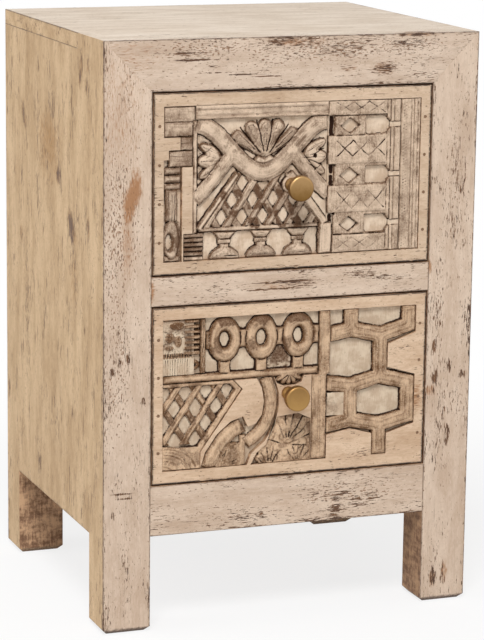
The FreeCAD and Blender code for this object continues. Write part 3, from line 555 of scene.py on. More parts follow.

        # Bare wood, dark edges of grime and painted gap shade, painted shade at the feet, and faces that were
        # never washed
        bare = graph.blend(fibre.fade(0.36, 0.64), self.bare_dark, self.bare_light)
        speck = graph.blend(mottle.fade(0.38, 0.54), self.bare_dark, self.speck_brown)
        colour = graph.blend(bald, graph.blend(dots, wash, speck), bare)
        # Dark line along free edges: grime, with painted shade in the gaps round the drawers
        line = gap.fade(self.edge_reach, 0.3) * self.edge_line * mottle.fade(0.3, 0.55)
        # Painted shade on the feet near the floor
        foot_shade = (graph.parts(place)[2] + mottle.swing(8.0)).fade(6.5, 2.0) * 0.8
        colour = graph.blend(line.most(foot_shade), colour, self.edge_grime_and_shade)
        band = self.band.spread(graph, place, self.seed)
        thin = (fibre * 0.2 + mottle * 0.35 + band * 0.45).fade(0.42, 0.58)
        raw = graph.blend(thin, self.raw_dark, self.raw_light)
        for side in self.raw_faces:
            colour = graph.blend(self.looks(graph, side), colour, raw)
        roughness = 0.7 - chips * 0.12 + fibre.swing(0.2)
        height = fibre * 0.3 + mottle * 0.25 + (1.0 - bald.most(dots)) * 0.45
        return graph.finish(colour, roughness, height, 0.4)


@dataclass(frozen=True)
class RawWood:
    """Unpainted wood of the drawer boxes and the hidden parts of the carcass.

    Attributes:
        grain: The axis along which the fibres run.
        seed: A number that gives the board its own grain.
    """

    grain: Grain = Grain.DEEP
    seed: float = 0.0

    light: ClassVar[Colour] = shade(178, 140, 100)
    dark: ClassVar[Colour] = shade(132, 96, 64)
    pore_brown: ClassVar[Colour] = shade(84, 56, 36)
    fibre: ClassVar[Layer] = Layer(0.5, 0.01, 0.0, 6.0, 0.66)
    figure: ClassVar[Layer] = Layer(0.05, 0.006, 2.0)
    pore: ClassVar[Layer] = Layer(1.1, 0.05, 4.0, 3.0)

    def material(self, name: str) -> bpy.types.Material:
        """Makes the finish.

        Args:
            name: The material's name.

        Returns:
            The material.
        """
        graph = Graph(name)
        place = graph.place()
        layers = (self.fibre, self.figure, self.pore)
        fibre, figure, pore = (layer.spread(graph, place, self.seed, self.grain) for layer in layers)
        pores = pore.fade(0.62, 0.72)
        colour = graph.blend((fibre * 0.5 + figure * 0.5).fade(0.38, 0.62), self.dark, self.light)
        colour = graph.blend(pores * 0.6, colour, self.pore_brown)
        return graph.finish(colour, 0.72 + fibre.swing(0.25), fibre - pores * 0.4, 0.3)


@dataclass(frozen=True)
class CarvedWash:
    """Wash on the carving: pale in the ground, rubbed to brown on the motifs, dark with dirt and painted
    shade in the crevices.

    Attributes:
        ground_pale: The thick wash of the ground.
        ground_dull: The thin wash of the ground.
        motif_pale: The wash that is left on the motifs.
        motif_wood_and_shade: The wood of the motifs where it is gone, and the painted shade low on their
            flanks.
        rubbed: How much more of it is gone than usual.
        speckle: How strong the specks on the motifs are.
        grain: The axis along which the fibres run.
        seed: A number that gives the piece its own wear.
    """

    ground_pale: Colour = shade(222, 201, 178)
    ground_dull: Colour = shade(198, 173, 148)
    motif_pale: Colour = shade(214, 190, 166)
    motif_wood_and_shade: Colour = shade(100, 73, 52)
    rubbed: float = 0.0
    speckle: float = 1.0
    grain: Grain = Grain.UPRIGHT
    seed: float = 0.0

    # Dirt and painted shade in the crevices
    crevice_dirt_and_shade: ClassVar[Colour] = shade(42, 21, 9)
    stain_brown: ClassVar[Colour] = shade(94, 66, 46)
    specular: ClassVar[float] = 0.15
    fibre: ClassVar[Layer] = Layer(0.9, 0.12, 0.0, 5.0, 0.66)
    cloud: ClassVar[Layer] = Layer(0.07, 0.07, 3.0, 3.0)
    fleck: ClassVar[Layer] = Layer(0.6, 0.6, 5.0, 4.0, 0.62)
    crumb: ClassVar[Layer] = Layer(0.75, 0.75, 8.0, 3.0)

    def material(self, name: str) -> bpy.types.Material:
        """Makes the finish, which reads the masks that a carved mesh holds.

        Args:
            name: The material's name.

        Returns:
            The material.
        """
        graph = Graph(name)
        place = graph.place()
        relief, height, cavity, ridge, streak, stain = (graph.mask(mask) for mask in CarvedPiece.mask_names)
        layers = (self.fibre, self.cloud, self.fleck, self.crumb)
        fibre, cloud, fleck, crumb = (layer.spread(graph, place, self.seed, self.grain) for layer in layers)

        # Wash that is left on the ground and on the motifs, with painted shade low on the motifs and a
        # painted highlight on their ridges
        ground = graph.blend((cloud * 0.7 + fibre * 0.3).fade(0.4, 0.6), self.ground_dull, self.ground_pale)
        speckled = (fibre.swing(0.9) + fleck.swing(0.8)) * self.speckle
        uneven = speckled + cloud.swing(1.2) + streak.swing(0.75)
        # The motifs turn brown low on their flanks as painted shade, and at random where the wash is worn
        kept = (uneven + height * 0.85 - (0.29 + self.rubbed)).fade(0.05, 0.95)
        motif = graph.blend(kept, self.motif_wood_and_shade, self.motif_pale)
        # Painted highlight: pale wash on the ridges
        motif = graph.blend(ridge.fade(0.15, 0.7) * fibre.fade(0.38, 0.58) * 0.85, motif, self.ground_pale)
        motif = graph.blend(crumb.fade(0.58, 0.66) * 0.5, motif, self.ground_pale)
        colour = graph.blend(relief.fade(0.12, 0.5), ground, motif)

        # Chips, brown places, and crevices darkened with dirt and painted shade
        chips = (fleck + cavity * 0.1).fade(0.65, 0.71)
        colour = graph.blend(chips * 0.6, colour, self.stain_brown)
        soaked = stain.fade(0.0, 0.5) * (stain + fleck.swing(1.2) + fibre.swing(0.6)).fade(0.2, 1.1)
        colour = graph.blend(soaked, colour, self.stain_brown)
        dark = (cavity + fleck.swing(0.8) + cloud.swing(1.3)).fade(0.3, 0.78)
        colour = graph.blend(dark, colour, self.crevice_dirt_and_shade)
        graph.shine("Specular IOR Level", self.specular)
        return graph.finish(colour, 0.68 + fibre.swing(0.25), fibre * 0.6 + (1.0 - chips) * 0.4, 0.3)


@dataclass(frozen=True)
class SatinBrass:
    """Lacquered brass of a knob, with turning marks, a little tarnish and a painted reflection from its lower
    to its upper edge.

    Attributes:
        top_with_reflection: The colour of its upper edge, with its painted reflection.
        bottom_with_reflection: The colour of its lower edge, with its painted reflection.
        axis: The x and z of its middle, in millimetres.
        seed: A number that gives it its own tarnish.
    """

    top_with_reflection: Colour
    bottom_with_reflection: Colour
    axis: Point
    seed: float

    radius: ClassVar[float] = 13.0
    turned: ClassVar[Layer] = Layer(3.2, 0.0, 0.0, 3.0)
    stained: ClassVar[Layer] = Layer(0.16, 0.16, 2.0, 5.0, 0.7)

    def material(self, name: str) -> bpy.types.Material:
        """Makes the finish of one knob.

        Args:
            name: The material's name.

        Returns:
            The material.
        """
        graph = Graph(name)
        place = graph.place()
        offset = graph.vector("SUBTRACT", place, (self.axis[0], 0.0, self.axis[1]))
        radius = graph.length(graph.vector("MULTIPLY", offset, (1.0, 0.0, 1.0)))
        ring = graph.take(0, "ShaderNodeCombineXYZ", None, {0: radius, 1: graph.parts(place)[1]})
        turning = self.turned.spread(graph, ring, self.seed)
        tarnish = self.stained.spread(graph, place, self.seed)
        # Painted reflection: the colour runs from the lower edge to the upper, with tarnish mixed in
        level = graph.parts(offset)[2] * (0.5 / self.radius) + 0.5
        level = level + (tarnish.swing(0.5) + turning.swing(0.2))
        graph.shine("Metallic", 1.0)
        roughness = 0.36 + turning.swing(0.2) + tarnish * 0.14
        return graph.finish(graph.blend(level.fade(0.0, 1.0), self.bottom_with_reflection, self.top_with_reflection), roughness, turning, 0.03)


@dataclass(frozen=True)
class AgedSteel:
    """Dark, slightly rusted steel of nails and screws.

    Attributes:
        metal: The clean metal.
        rust: The rust, or the wash that is left on it.
        seed: A number that gives the piece its own rust.
    """

    metal: Colour = shade(96, 88, 80)
    rust: Colour = shade(84, 52, 34)
    seed: float = 0.0

    bloom: ClassVar[Layer] = Layer(0.7, 0.7, 0.0, 4.0, 0.65)

    def material(self, name: str) -> bpy.types.Material:
        """Makes the finish.

        Args:
            name: The material's name.

        Returns:
            The material.
        """
        graph = Graph(name)
        rust = self.bloom.spread(graph, graph.place(), self.seed).fade(0.42, 0.58)
        graph.shine("Metallic", 0.9 - rust * 0.8)
        return graph.finish(graph.blend(rust, self.metal, self.rust), 0.45 + rust * 0.35, rust, 0.05)


@dataclass(frozen=True)
class Groove:
    """A cut that follows the edge of the motifs at one level.

    Attributes:
        level: The motifs' level above the drawer front, in millimetres.
        offset: The distance from their edge.
        width: Half the cut's width.
        depth: The cut's depth.
    """

    level: float
    offset: float
    width: float
    depth: float


@dataclass(frozen=True)
class Incision:
    """A cut through points of the carving, in millimetres about the front's middle.

    Attributes:
        points: The x and z of the points.
        width: Half the cut's width.
        depth: Its depth.
        faded: How much of it is worn away in places.
    """

    points: tuple[Point, ...]
    width: float
    depth: float
    faded: float = 0.4


@dataclass(frozen=True)
class Fill:
    """A stretch of the carving that is filled up to a level, in millimetres about the front's middle.

    Attributes:
        x: Its middle across.
        z: Its middle up.
        half_width: How far it reaches to each side.
        half_height: How far it reaches up and down.
        level: Its level above the drawer front.
        pale: Whether it is pale wash, or wood left standing.
    """

    x: float
    z: float
    half_width: float
    half_height: float
    level: float
    pale: bool = False


class Where(Enum):
    """Which part of the carving a stain lies on."""

    ALL = "all"
    GROUND = "ground"
    MOTIF = "motif"


@dataclass(frozen=True)
class Stain:
    """A brown place on the carving, in millimetres about the front's middle.

    Attributes:
        x: Its middle across.
        z: Its middle up.
        half_width: How far it reaches to each side.
        half_height: How far it reaches up and down.
        strength: How brown it is, up to 1.
        where: The part of the carving that it lies on.
    """

    x: float
    z: float
    half_width: float
    half_height: float
    strength: float
    where: Where


@dataclass(frozen=True)
class Rounding:
    """How the edge of a motif is rounded over, in millimetres.

    Attributes:
        radius: How far in it starts.
        drop: How far down it goes.
    """

    radius: float
    drop: float


# Motifs of the carving by their level above the drawer front, in millimetres
CREST, LOBE, FLUSH, LOW, LOWER = 0.8, 0.5, 0.0, -0.6, -1.1
FLAT = {level: Rounding(1.4, 0.8) for level in (CREST, LOBE, FLUSH, LOW, LOWER)}
ROUND = {
    CREST: Rounding(8.0, 3.4),
    LOBE: Rounding(5.6, 2.8),
    FLUSH: Rounding(2.0, 1.2),
    LOW: Rounding(3.2, 2.2),
    LOWER: Rounding(3.2, 1.9),
}


def random_field(x: np.ndarray, z: np.ndarray, spacing: float, seed: float) -> np.ndarray:
    """Gives a smooth random number at each point.

    Args:
        x: Points across.
        z: Points up.
        spacing: The size of the field's features.
        seed: A number that gives each piece its own field.

    Returns:
        Numbers from -1 to 1.
    """
    across, up = x / spacing, z / spacing
    column, row = np.floor(across), np.floor(up)
    share_x, share_z = across - column, up - row
    share_x = share_x * share_x * (3 - 2 * share_x)
    share_z = share_z * share_z * (3 - 2 * share_z)

    def corner(step_x: int, step_z: int) -> np.ndarray:
        """Returns the random number at a corner of each point's cell."""
        mixed = np.sin((column + step_x) * 12.9898 + (row + step_z) * 78.233 + seed * 3.7) * 43758.5453
        return mixed - np.floor(mixed)

    low = corner(0, 0) * (1 - share_x) + corner(1, 0) * share_x
    high = corner(0, 1) * (1 - share_x) + corner(1, 1) * share_x
    return 2 * (low * (1 - share_z) + high * share_z) - 1


def mean_over(field: np.ndarray, cells: int) -> np.ndarray:
    """Averages a grid over a square round each point.

    Args:
        field: The grid.
        cells: The square's reach in cells.

    Returns:
        The averages, as a grid of the same size.
    """
    for axis in (0, 1):
        padding = [(cells + 1, cells) if side == axis else (0, 0) for side in (0, 1)]
        total = np.cumsum(np.pad(field, padding, mode="edge"), axis=axis)
        count = 2 * cells + 1
        upper = np.take(total, range(count, total.shape[axis]), axis=axis)
        lower = np.take(total, range(0, total.shape[axis] - count), axis=axis)
        field = (upper - lower) / count
    return field


def open_edges(triangles: np.ndarray) -> np.ndarray:
    """Finds the outline of a set of flat triangles.

    Args:
        triangles: Triangles of x and z, count by 3 by 2.

    Returns:
        The edges that only one triangle has, count by 2 by 2.
    """
    seen: dict = {}
    for triangle in triangles:
        keys = [tuple(np.round(corner, 3)) for corner in triangle]
        for index in range(3):
            pair = (keys[index], keys[(index + 1) % 3])
            key = tuple(sorted(pair))
            seen[key] = None if key in seen else pair
    return np.array([pair for pair in seen.values() if pair is not None])


def covered(across: np.ndarray, up: np.ndarray, triangles: np.ndarray) -> np.ndarray:
    """Finds the grid points that flat triangles cover.

    Args:
        across: The grid's x values.
        up: The grid's z values.
        triangles: Triangles of x and z, count by 3 by 2.

    Returns:
        True where a triangle covers the point, by row and column.
    """
    mask = np.zeros((len(up), len(across)), bool)
    for triangle in triangles:
        low, high = triangle.min(axis=0), triangle.max(axis=0)
        left, right = np.searchsorted(across, (low[0] - 1e-6, high[0] + 1e-6))
        bottom, top = np.searchsorted(up, (low[1] - 1e-6, high[1] + 1e-6))
        if left == right or bottom == top:
            continue
        x, z = np.meshgrid(across[left:right], up[bottom:top])
        turns = []
        for index in range(3):
            (ax, az), (bx, bz) = triangle[index], triangle[(index + 1) % 3]
            turns.append((bx - ax) * (z - az) - (bz - az) * (x - ax))
        inside = np.all(np.array(turns) >= -1e-6, axis=0) | np.all(np.array(turns) <= 1e-6, axis=0)
        mask[bottom:top, left:right] |= inside
    return mask


def distance_to(edges: np.ndarray, points: np.ndarray) -> np.ndarray:
    """Measures how far points are from a set of edges.

    Args:
        edges: The edges, count by 2 by 2.
        points: The points, count by 2.

    Returns:
        One distance per point.
    """
    spacing = 0.25
    samples = []
    for start, end in edges:
        steps = max(1, int(np.ceil(np.hypot(*(end - start)) / spacing)))
        samples += [start + (end - start) * step / steps for step in range(steps)]
    tree = KDTree(len(samples))
    for index, (x, z) in enumerate(samples):
        tree.insert((x, z, 0.0), index)
    tree.balance()
    return np.array([tree.find((x, z, 0.0))[2] for x, z in points])


def nearest_on(edges: np.ndarray, points: np.ndarray) -> np.ndarray:
    """Moves points to the nearest place on a set of edges.

    Args:
        edges: The edges, count by 2 by 2.
        points: The points, count by 2.

    Returns:
        The nearest places, count by 2.
    """
    start, run = edges[:, 0], edges[:, 1] - edges[:, 0]
    length = np.maximum((run * run).sum(axis=1), 1e-12)
    share = ((points[:, None, :] - start[None]) * run[None]).sum(axis=2) / length
    places = start[None] + np.clip(share, 0, 1)[:, :, None] * run[None]
    best = ((places - points[:, None, :]) ** 2).sum(axis=2).argmin(axis=1)
    return places[np.arange(len(points)), best]


@dataclass
class CarvedPiece:
    """An old carved piece in a drawer front, as a worn relief on the outline of its CAD solid.

    Attributes:
        node: The CAD node that the relief stands for.
        body: The drawer that it rides on.
        middle: The height of the drawer front's middle, in millimetres.
        front: The depth of the drawer front's face, in millimetres.
        bore: The middle of the knob's bore, from the front's middle.
        over_bore: Whether the relief goes on behind the knob, over its bore.
        pitch: The spacing of the relief's points.
        grooves: Cuts along the motifs' edges.
        incisions: Cuts through points.
        stains: Brown places.
        edges: How the edges of the motifs at each level are rounded.
        slim: How much the lattice bars are pared on each side.
        fills: Stretches that are filled up.
        rubbed: How much more of the wash is rubbed off the motifs than usual.
        speckle: How strong the specks on the motifs are.
        soot: How dark the crevices are, with dirt and painted shade.
        lined: How strong the streaks along the motifs' edges are.
        shadow: How far the dark of the crevices reaches.
        faint: How low a step stays pale.
        grain: The axis along which the fibres run.
        seed: A number that gives the piece its own tool marks.
    """

    node: str
    body: str
    middle: float
    front: float
    bore: Point
    over_bore: bool = False
    pitch: float = 0.7
    grooves: tuple[Groove, ...] = ()
    incisions: tuple[Incision, ...] = ()
    stains: tuple[Stain, ...] = ()
    edges: dict[float, Rounding] = field(default_factory=lambda: ROUND)
    slim: float = 0.0
    fills: tuple[Fill, ...] = ()
    rubbed: float = 0.0
    speckle: float = 1.0
    soot: float = 1.0
    lined: float = 1.0
    shadow: float = 1.7
    faint: float = 0.0
    grain: Grain = Grain.UPRIGHT
    seed: float = 0.0

    wall_slope: ClassVar[float] = 6.0
    bore_reach: ClassVar[float] = 3.0
    dark_step: ClassVar[float] = 1.3
    full_relief: ClassVar[float] = 2.4
    floor_depth: ClassVar[float] = 6.0
    mask_names: ClassVar[tuple[str, ...]] = ("relief", "height", "cavity", "ridge", "streak", "stain")

    def plan(self) -> tuple[np.ndarray, np.ndarray, np.ndarray]:
        """Reads the CAD solid's flat faces.

        Returns:
            The front triangles of x and z, their levels, and the triangles of the back.
        """
        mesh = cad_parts[self.node].data
        corners = np.empty(len(mesh.vertices) * 3)
        mesh.vertices.foreach_get("co", corners)
        corners = corners.reshape(-1, 3) * MILLIMETRES
        mesh.calc_loop_triangles()
        order = np.empty(len(mesh.loop_triangles) * 3, int)
        mesh.loop_triangles.foreach_get("vertices", order)
        triangles = corners[order.reshape(-1, 3)]
        normal = np.cross(triangles[:, 1] - triangles[:, 0], triangles[:, 2] - triangles[:, 0])
        lean = normal[:, 1] / np.maximum(np.linalg.norm(normal, axis=1), 1e-12)
        flat = triangles[:, :, (0, 2)] - (0.0, self.middle)
        levels = self.front - triangles[:, :, 1].mean(axis=1)
        facing = lean < -0.9
        return flat[facing], levels[facing], flat[lean > 0.9]

    def heights(
        self, points: np.ndarray, inside: dict, borders: dict, ground: float
    ) -> tuple[np.ndarray, np.ndarray, np.ndarray, np.ndarray]:
        """Works out the carved surface.

        Args:
            points: Points of x and z.
            inside: For each level, which points lie in its motifs.
            borders: For each level, the edges of its motifs.
            ground: The level between the motifs.

        Returns:
            The height of each point above the drawer front, the level of the ground or pale fill there,
            how far the point lies in a cut, and the streaks along the motifs' edges, both from 0 to 1.
        """
        x, z = points.T

        def uneven(spacing: float, layer: int) -> np.ndarray:
            """Returns one of the piece's random fields."""
            return random_field(x, z, spacing, self.seed + layer)

        surface = ground + 0.2 * uneven(7.0, 0)
        surface += 0.08 * uneven(2.2, 1)
        ragged = 0.3 * uneven(3.4, 2) + 0.15 * uneven(1.5, 3)
        cuts, streaks = np.zeros(len(points)), np.zeros(len(points))
        slow = 1.6 * uneven(20.0, 11)
        for level in sorted(borders):
            rounding = self.edges[level]
            depth = distance_to(borders[level], points)
            depth = np.where(inside[level], depth, -depth) + ragged - (self.slim if level <= LOW else 0.0)
            share = np.clip(1 - depth / rounding.radius, 0, 1)
            motif = level - rounding.drop * share**1.8
            motif = np.where(depth < 0, level - rounding.drop + depth * self.wall_slope, motif)
            for groove in self.grooves:
                if groove.level == level:
                    cut = np.clip(1 - np.abs(depth - groove.offset) / groove.width, 0, 1)
                    motif -= groove.depth * cut
                    cuts = np.maximum(cuts, cut * groove.depth)
            lines = self.lined * random_field(depth, slow, 1.1, self.seed + level)
            streaks = np.where((motif > surface) & (depth > 0), lines, streaks)
            surface = np.maximum(surface, motif + 0.12 * np.where(depth > 0, lines, 0.0))
        marks = 0.12 * uneven(4.5, 4) + 0.08 * uneven(1.7, 5)
        surface += np.where(surface > ground + 1.0, marks - 0.15, 0.0)
        base = np.full(len(points), ground)
        for fill in self.fills:
            away = np.maximum(np.abs(x - fill.x) / fill.half_width, np.abs(z - fill.z) / fill.half_height)
            base = np.where((away < 1) & fill.pale, fill.level, base)
            surface = np.where(away < 1, np.maximum(surface, fill.level + 2 * marks), surface)
            cuts = np.where(away < 1, cuts * 0.5, cuts)
        bent = points + 0.5 * np.stack([uneven(5.0, 6), uneven(5.0, 7)], 1)
        worn = np.clip(0.5 + 0.9 * uneven(7.0, 8), 0, 1)
        for incision in self.incisions:
            chain = np.array(incision.points)
            stretches = np.stack([chain[:-1], chain[1:]], axis=1)
            away = np.hypot(*(nearest_on(stretches, bent) - bent).T)
            cut = np.clip(1.3 - 1.3 * away / incision.width, 0, 1) * (1 - incision.faded * worn)
            surface -= incision.depth * cut
            cuts = np.maximum(cuts, cut * incision.depth)
        return np.maximum(surface, ground - 0.9), base, cuts, 0.5 + 0.5 * streaks

    def build(self, finish: CarvedWash) -> bpy.types.Object:
        """Makes the relief and puts it in place of its CAD node.

        Args:
            finish: The wash on the carving.

        Returns:
            The new piece.
        """
        front, levels, back = self.plan()
        outline = open_edges(back)
        bore = np.array(self.bore)
        outline = outline[np.hypot(*(outline.mean(axis=1) - bore).T) > self.bore_reach]
        low, high = outline.reshape(-1, 2).min(axis=0), outline.reshape(-1, 2).max(axis=0)
        across = np.arange(low[0] - self.pitch, high[0] + 1.5 * self.pitch, self.pitch)
        up = np.arange(low[1] - self.pitch, high[1] + 1.5 * self.pitch, self.pitch)
        grid_x, grid_z = np.meshgrid(across, up)
        kept = covered(across, up, back)
        if self.over_bore:
            kept |= np.hypot(grid_x - bore[0], grid_z - bore[1]) < self.bore_reach

        # Cells with a corner in the outline, and their outer corners moved onto it
        corners_in = kept[:-1, :-1] | kept[1:, :-1] | kept[:-1, 1:] | kept[1:, 1:]
        used = np.zeros(kept.shape, bool)
        for row, column in ((0, 0), (0, 1), (1, 0), (1, 1)):
            used[row : row + corners_in.shape[0], column : column + corners_in.shape[1]] |= corners_in
        points = np.stack([grid_x, grid_z], axis=2)
        rim = used & ~kept
        points[rim] = nearest_on(outline, points[rim])

        # The carved surface
        inside, borders = {}, {}
        for level in self.edges:
            chosen = front[np.abs(levels - level) < 0.05]
            if len(chosen):
                mask = covered(across, up, chosen) & ~rim
                inside[level] = mask[used]
                borders[level] = open_edges(chosen)
        ground = float(levels.min())
        surface = np.full(kept.shape, ground)
        base, cuts, streaks = surface.copy(), np.zeros(kept.shape), np.zeros(kept.shape)
        carved = self.heights(points[used], inside, borders, ground)
        surface[used], base[used], cuts[used], streaks[used] = carved

        # Dirt and painted shade in the crevices, and a painted highlight on the ridges, as steps from the
        # mean level round each point
        reach = max(1, round(self.shadow / self.pitch))
        step = mean_over(mean_over(surface, reach), reach) - surface
        step = np.where(step > 0, np.maximum(step - self.faint, 0), step)
        hollow = self.soot * np.clip(np.maximum(step / self.dark_step, 1.1 * cuts), -1, 1)
        number = np.full(kept.shape, -1)
        number[used] = np.arange(used.sum())
        quads = np.stack([number[:-1, :-1], number[:-1, 1:], number[1:, 1:], number[1:, :-1]], axis=2)
        relief = np.clip((surface - base) / self.full_relief, 0, 1)
        height = np.clip((surface - ground) / -ground, 0, 1)
        fields = (relief, height, np.clip(hollow, 0, 1), np.clip(-hollow, 0, 1), streaks)
        masks = {name: mask[used] for name, mask in zip(self.mask_names, fields)}
        masks["stain"] = self.brown(points[used], masks["relief"])
        return self.shape(points[used], surface[used], masks, quads[corners_in], finish)

    def brown(self, points: np.ndarray, relief: np.ndarray) -> np.ndarray:
        """Works out where the carving is brown.

        Args:
            points: Points of x and z.
            relief: The height of each, from 0 in the ground to 1.

        Returns:
            How brown each point is, from 0 to 1.
        """
        total = np.zeros(len(points))
        x, z = points.T
        ragged = 0.45 * random_field(x, z, 5.0, self.seed + 9) + 0.3 * random_field(x, z, 2.0, self.seed + 10)
        for stain in self.stains:
            across = np.abs(x - stain.x) / stain.half_width
            away = (across**3 + (np.abs(z - stain.z) / stain.half_height) ** 3) ** (1 / 3) + ragged
            share = {Where.ALL: 1.0, Where.GROUND: 1 - relief, Where.MOTIF: relief}[stain.where]
            total = np.maximum(total, stain.strength * np.clip(1.6 * (1.4 - away), 0, 1) * share)
        return total

    def shape(
        self, points: np.ndarray, surface: np.ndarray, masks: dict, quads: np.ndarray, finish: CarvedWash
    ) -> bpy.types.Object:
        """Turns heights into a closed mesh with its masks.

        Args:
            points: Points of x and z.
            surface: Their heights above the drawer front.
            masks: Numbers for the finish at each point, by name.
            quads: The corners of each face.
            finish: The wash on the carving.

        Returns:
            The new piece.
        """
        same_point, no_length = 2e-5, 1e-5
        mesh = bpy.data.meshes.new(self.node + "_relief")
        places = np.stack([points[:, 0], self.front - surface, points[:, 1] + self.middle], axis=1)
        mesh.from_pydata((places / MILLIMETRES).tolist(), [], quads.tolist())
        for name, values in masks.items():
            attribute = mesh.attributes.new(name, "FLOAT", "POINT")
            attribute.data.foreach_set("value", values.astype(np.float32))

        shell = bmesh.new()
        shell.from_mesh(mesh)
        bmesh.ops.remove_doubles(shell, verts=shell.verts, dist=same_point)
        bmesh.ops.dissolve_degenerate(shell, edges=shell.edges, dist=no_length)
        rim = [edge for edge in shell.edges if edge.is_boundary]
        wall = bmesh.ops.extrude_edge_only(shell, edges=rim)["geom"]
        for vertex in (item for item in wall if isinstance(item, bmesh.types.BMVert)):
            vertex.co.y = (self.front + self.floor_depth) / MILLIMETRES
        bmesh.ops.holes_fill(shell, edges=[edge for edge in shell.edges if edge.is_boundary], sides=0)
        bmesh.ops.recalc_face_normals(shell, faces=shell.faces)
        for face in shell.faces:
            face.smooth = len(face.verts) <= 4
        shell.to_mesh(mesh)
        shell.free()

        piece = bpy.data.objects.new(self.node + "_relief", mesh)
        bpy.context.scene.collection.objects.link(piece)
        style = replace(finish, seed=self.seed, grain=self.grain, rubbed=self.rubbed, speckle=self.speckle)
        mesh.materials.append(style.material(self.node + "_wash"))
        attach(piece, self.body)
        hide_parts(self.node)
        return piece


def fan(
    root: Point, tips: tuple[Point, ...], start: float, end: float, depth: float, width: float = 0.9
) -> tuple[Incision, ...]:
    """Draws cuts that spread from a root.

    Args:
        root: The point they spread from.
        tips: The points they run to.
        start: The share of the way at which a cut starts.
        end: The share of the way at which it ends.
        depth: Their depth.
        width: Half their width.

    Returns:
        The cuts.
    """
    cuts = []
    for tip in tips:
        run = (tip[0] - root[0], tip[1] - root[1])
        first = (root[0] + run[0] * start, root[1] + run[1] * start)
        last = (root[0] + run[0] * end, root[1] + run[1] * end)
        cuts.append(Incision((first, last), width, depth))
    return tuple(cuts)


def crossed_zigzag(
    left: float, right: float, low: float, high: float, count: int, depth: float
) -> tuple[Incision, ...]:
    """Draws two zigzags that cross, as a row of diamonds.

    Args:
        left: Where they start.
        right: Where they end.
        low: Their lower level.
        high: Their upper level.
        count: The number of strokes.
        depth: Their depth.

    Returns:
        The two cuts.
    """
    width, faded = 1.2, 0.35
    stops = [left + (right - left) * index / count for index in range(count + 1)]
    rising = tuple((x, high if index % 2 else low) for index, x in enumerate(stops))
    falling = tuple((x, low if index % 2 else high) for index, x in enumerate(stops))
    return (Incision(rising, width, depth, faded), Incision(falling, width, depth, faded))


def strokes(
    *lines: tuple[float, float, float, float], width: float = 0.9, depth: float = 0.7, faded: float = 0.4
) -> tuple[Incision, ...]:
    """Draws straight cuts, each from the x and z of its start to those of its end."""
    return tuple(Incision(((a, b), (c, d)), width, depth, faded) for a, b, c, d in lines)


def tangle(root: Point, low: Point, high: Point, count: int, depth: float) -> tuple[Incision, ...]:
    """Draws short bent cuts at random places, each leaning away from a root.

    Args:
        root: The point they lean away from.
        low: The lowest x and z at which a cut starts.
        high: The highest x and z at which a cut starts.
        count: The number of cuts.
        depth: Their greatest depth.

    Returns:
        The cuts.
    """
    chance = np.random.default_rng(count)
    cuts = []
    for place in chance.uniform(low, high, (count, 2)):
        lean = math.atan2(place[1] - root[1], place[0] - root[0])
        points = [tuple(place)]
        for turn in lean + chance.uniform(-0.7, 0.7, 2):
            place = place + chance.uniform(1.5, 4.0) * np.array((math.cos(turn), math.sin(turn)))
            points.append(tuple(place))
        cuts.append(Incision(tuple(points), chance.uniform(0.6, 1.0), depth * chance.uniform(0.4, 1.0)))
    return tuple(cuts)


def arcs(
    centre: Point, radii: tuple[float, ...], start: float, end: float, depth: float
) -> tuple[Incision, ...]:
    """Draws cuts round a centre.

    Args:
        centre: The centre.
        radii: The radius of each cut.
        start: The angle at which they start, in degrees.
        end: The angle at which they end.
        depth: Their depth.

    Returns:
        The cuts.
    """
    width, stretches = 0.8, 10
    turns = [math.radians(start + (end - start) * step / stretches) for step in range(stretches + 1)]
    x, z = centre
    cuts = []
    for radius in radii:
        points = tuple((x + radius * math.cos(turn), z + radius * math.sin(turn)) for turn in turns)
        cuts.append(Incision(points, width, depth))
    return tuple(cuts)


def browned(where: Where, *rows: tuple[float, float, float, float, float]) -> tuple[Stain, ...]:
    """Draws brown places on one part of the carving, each from its middle, its reach and its strength."""
    return tuple(Stain(*row, where) for row in rows)


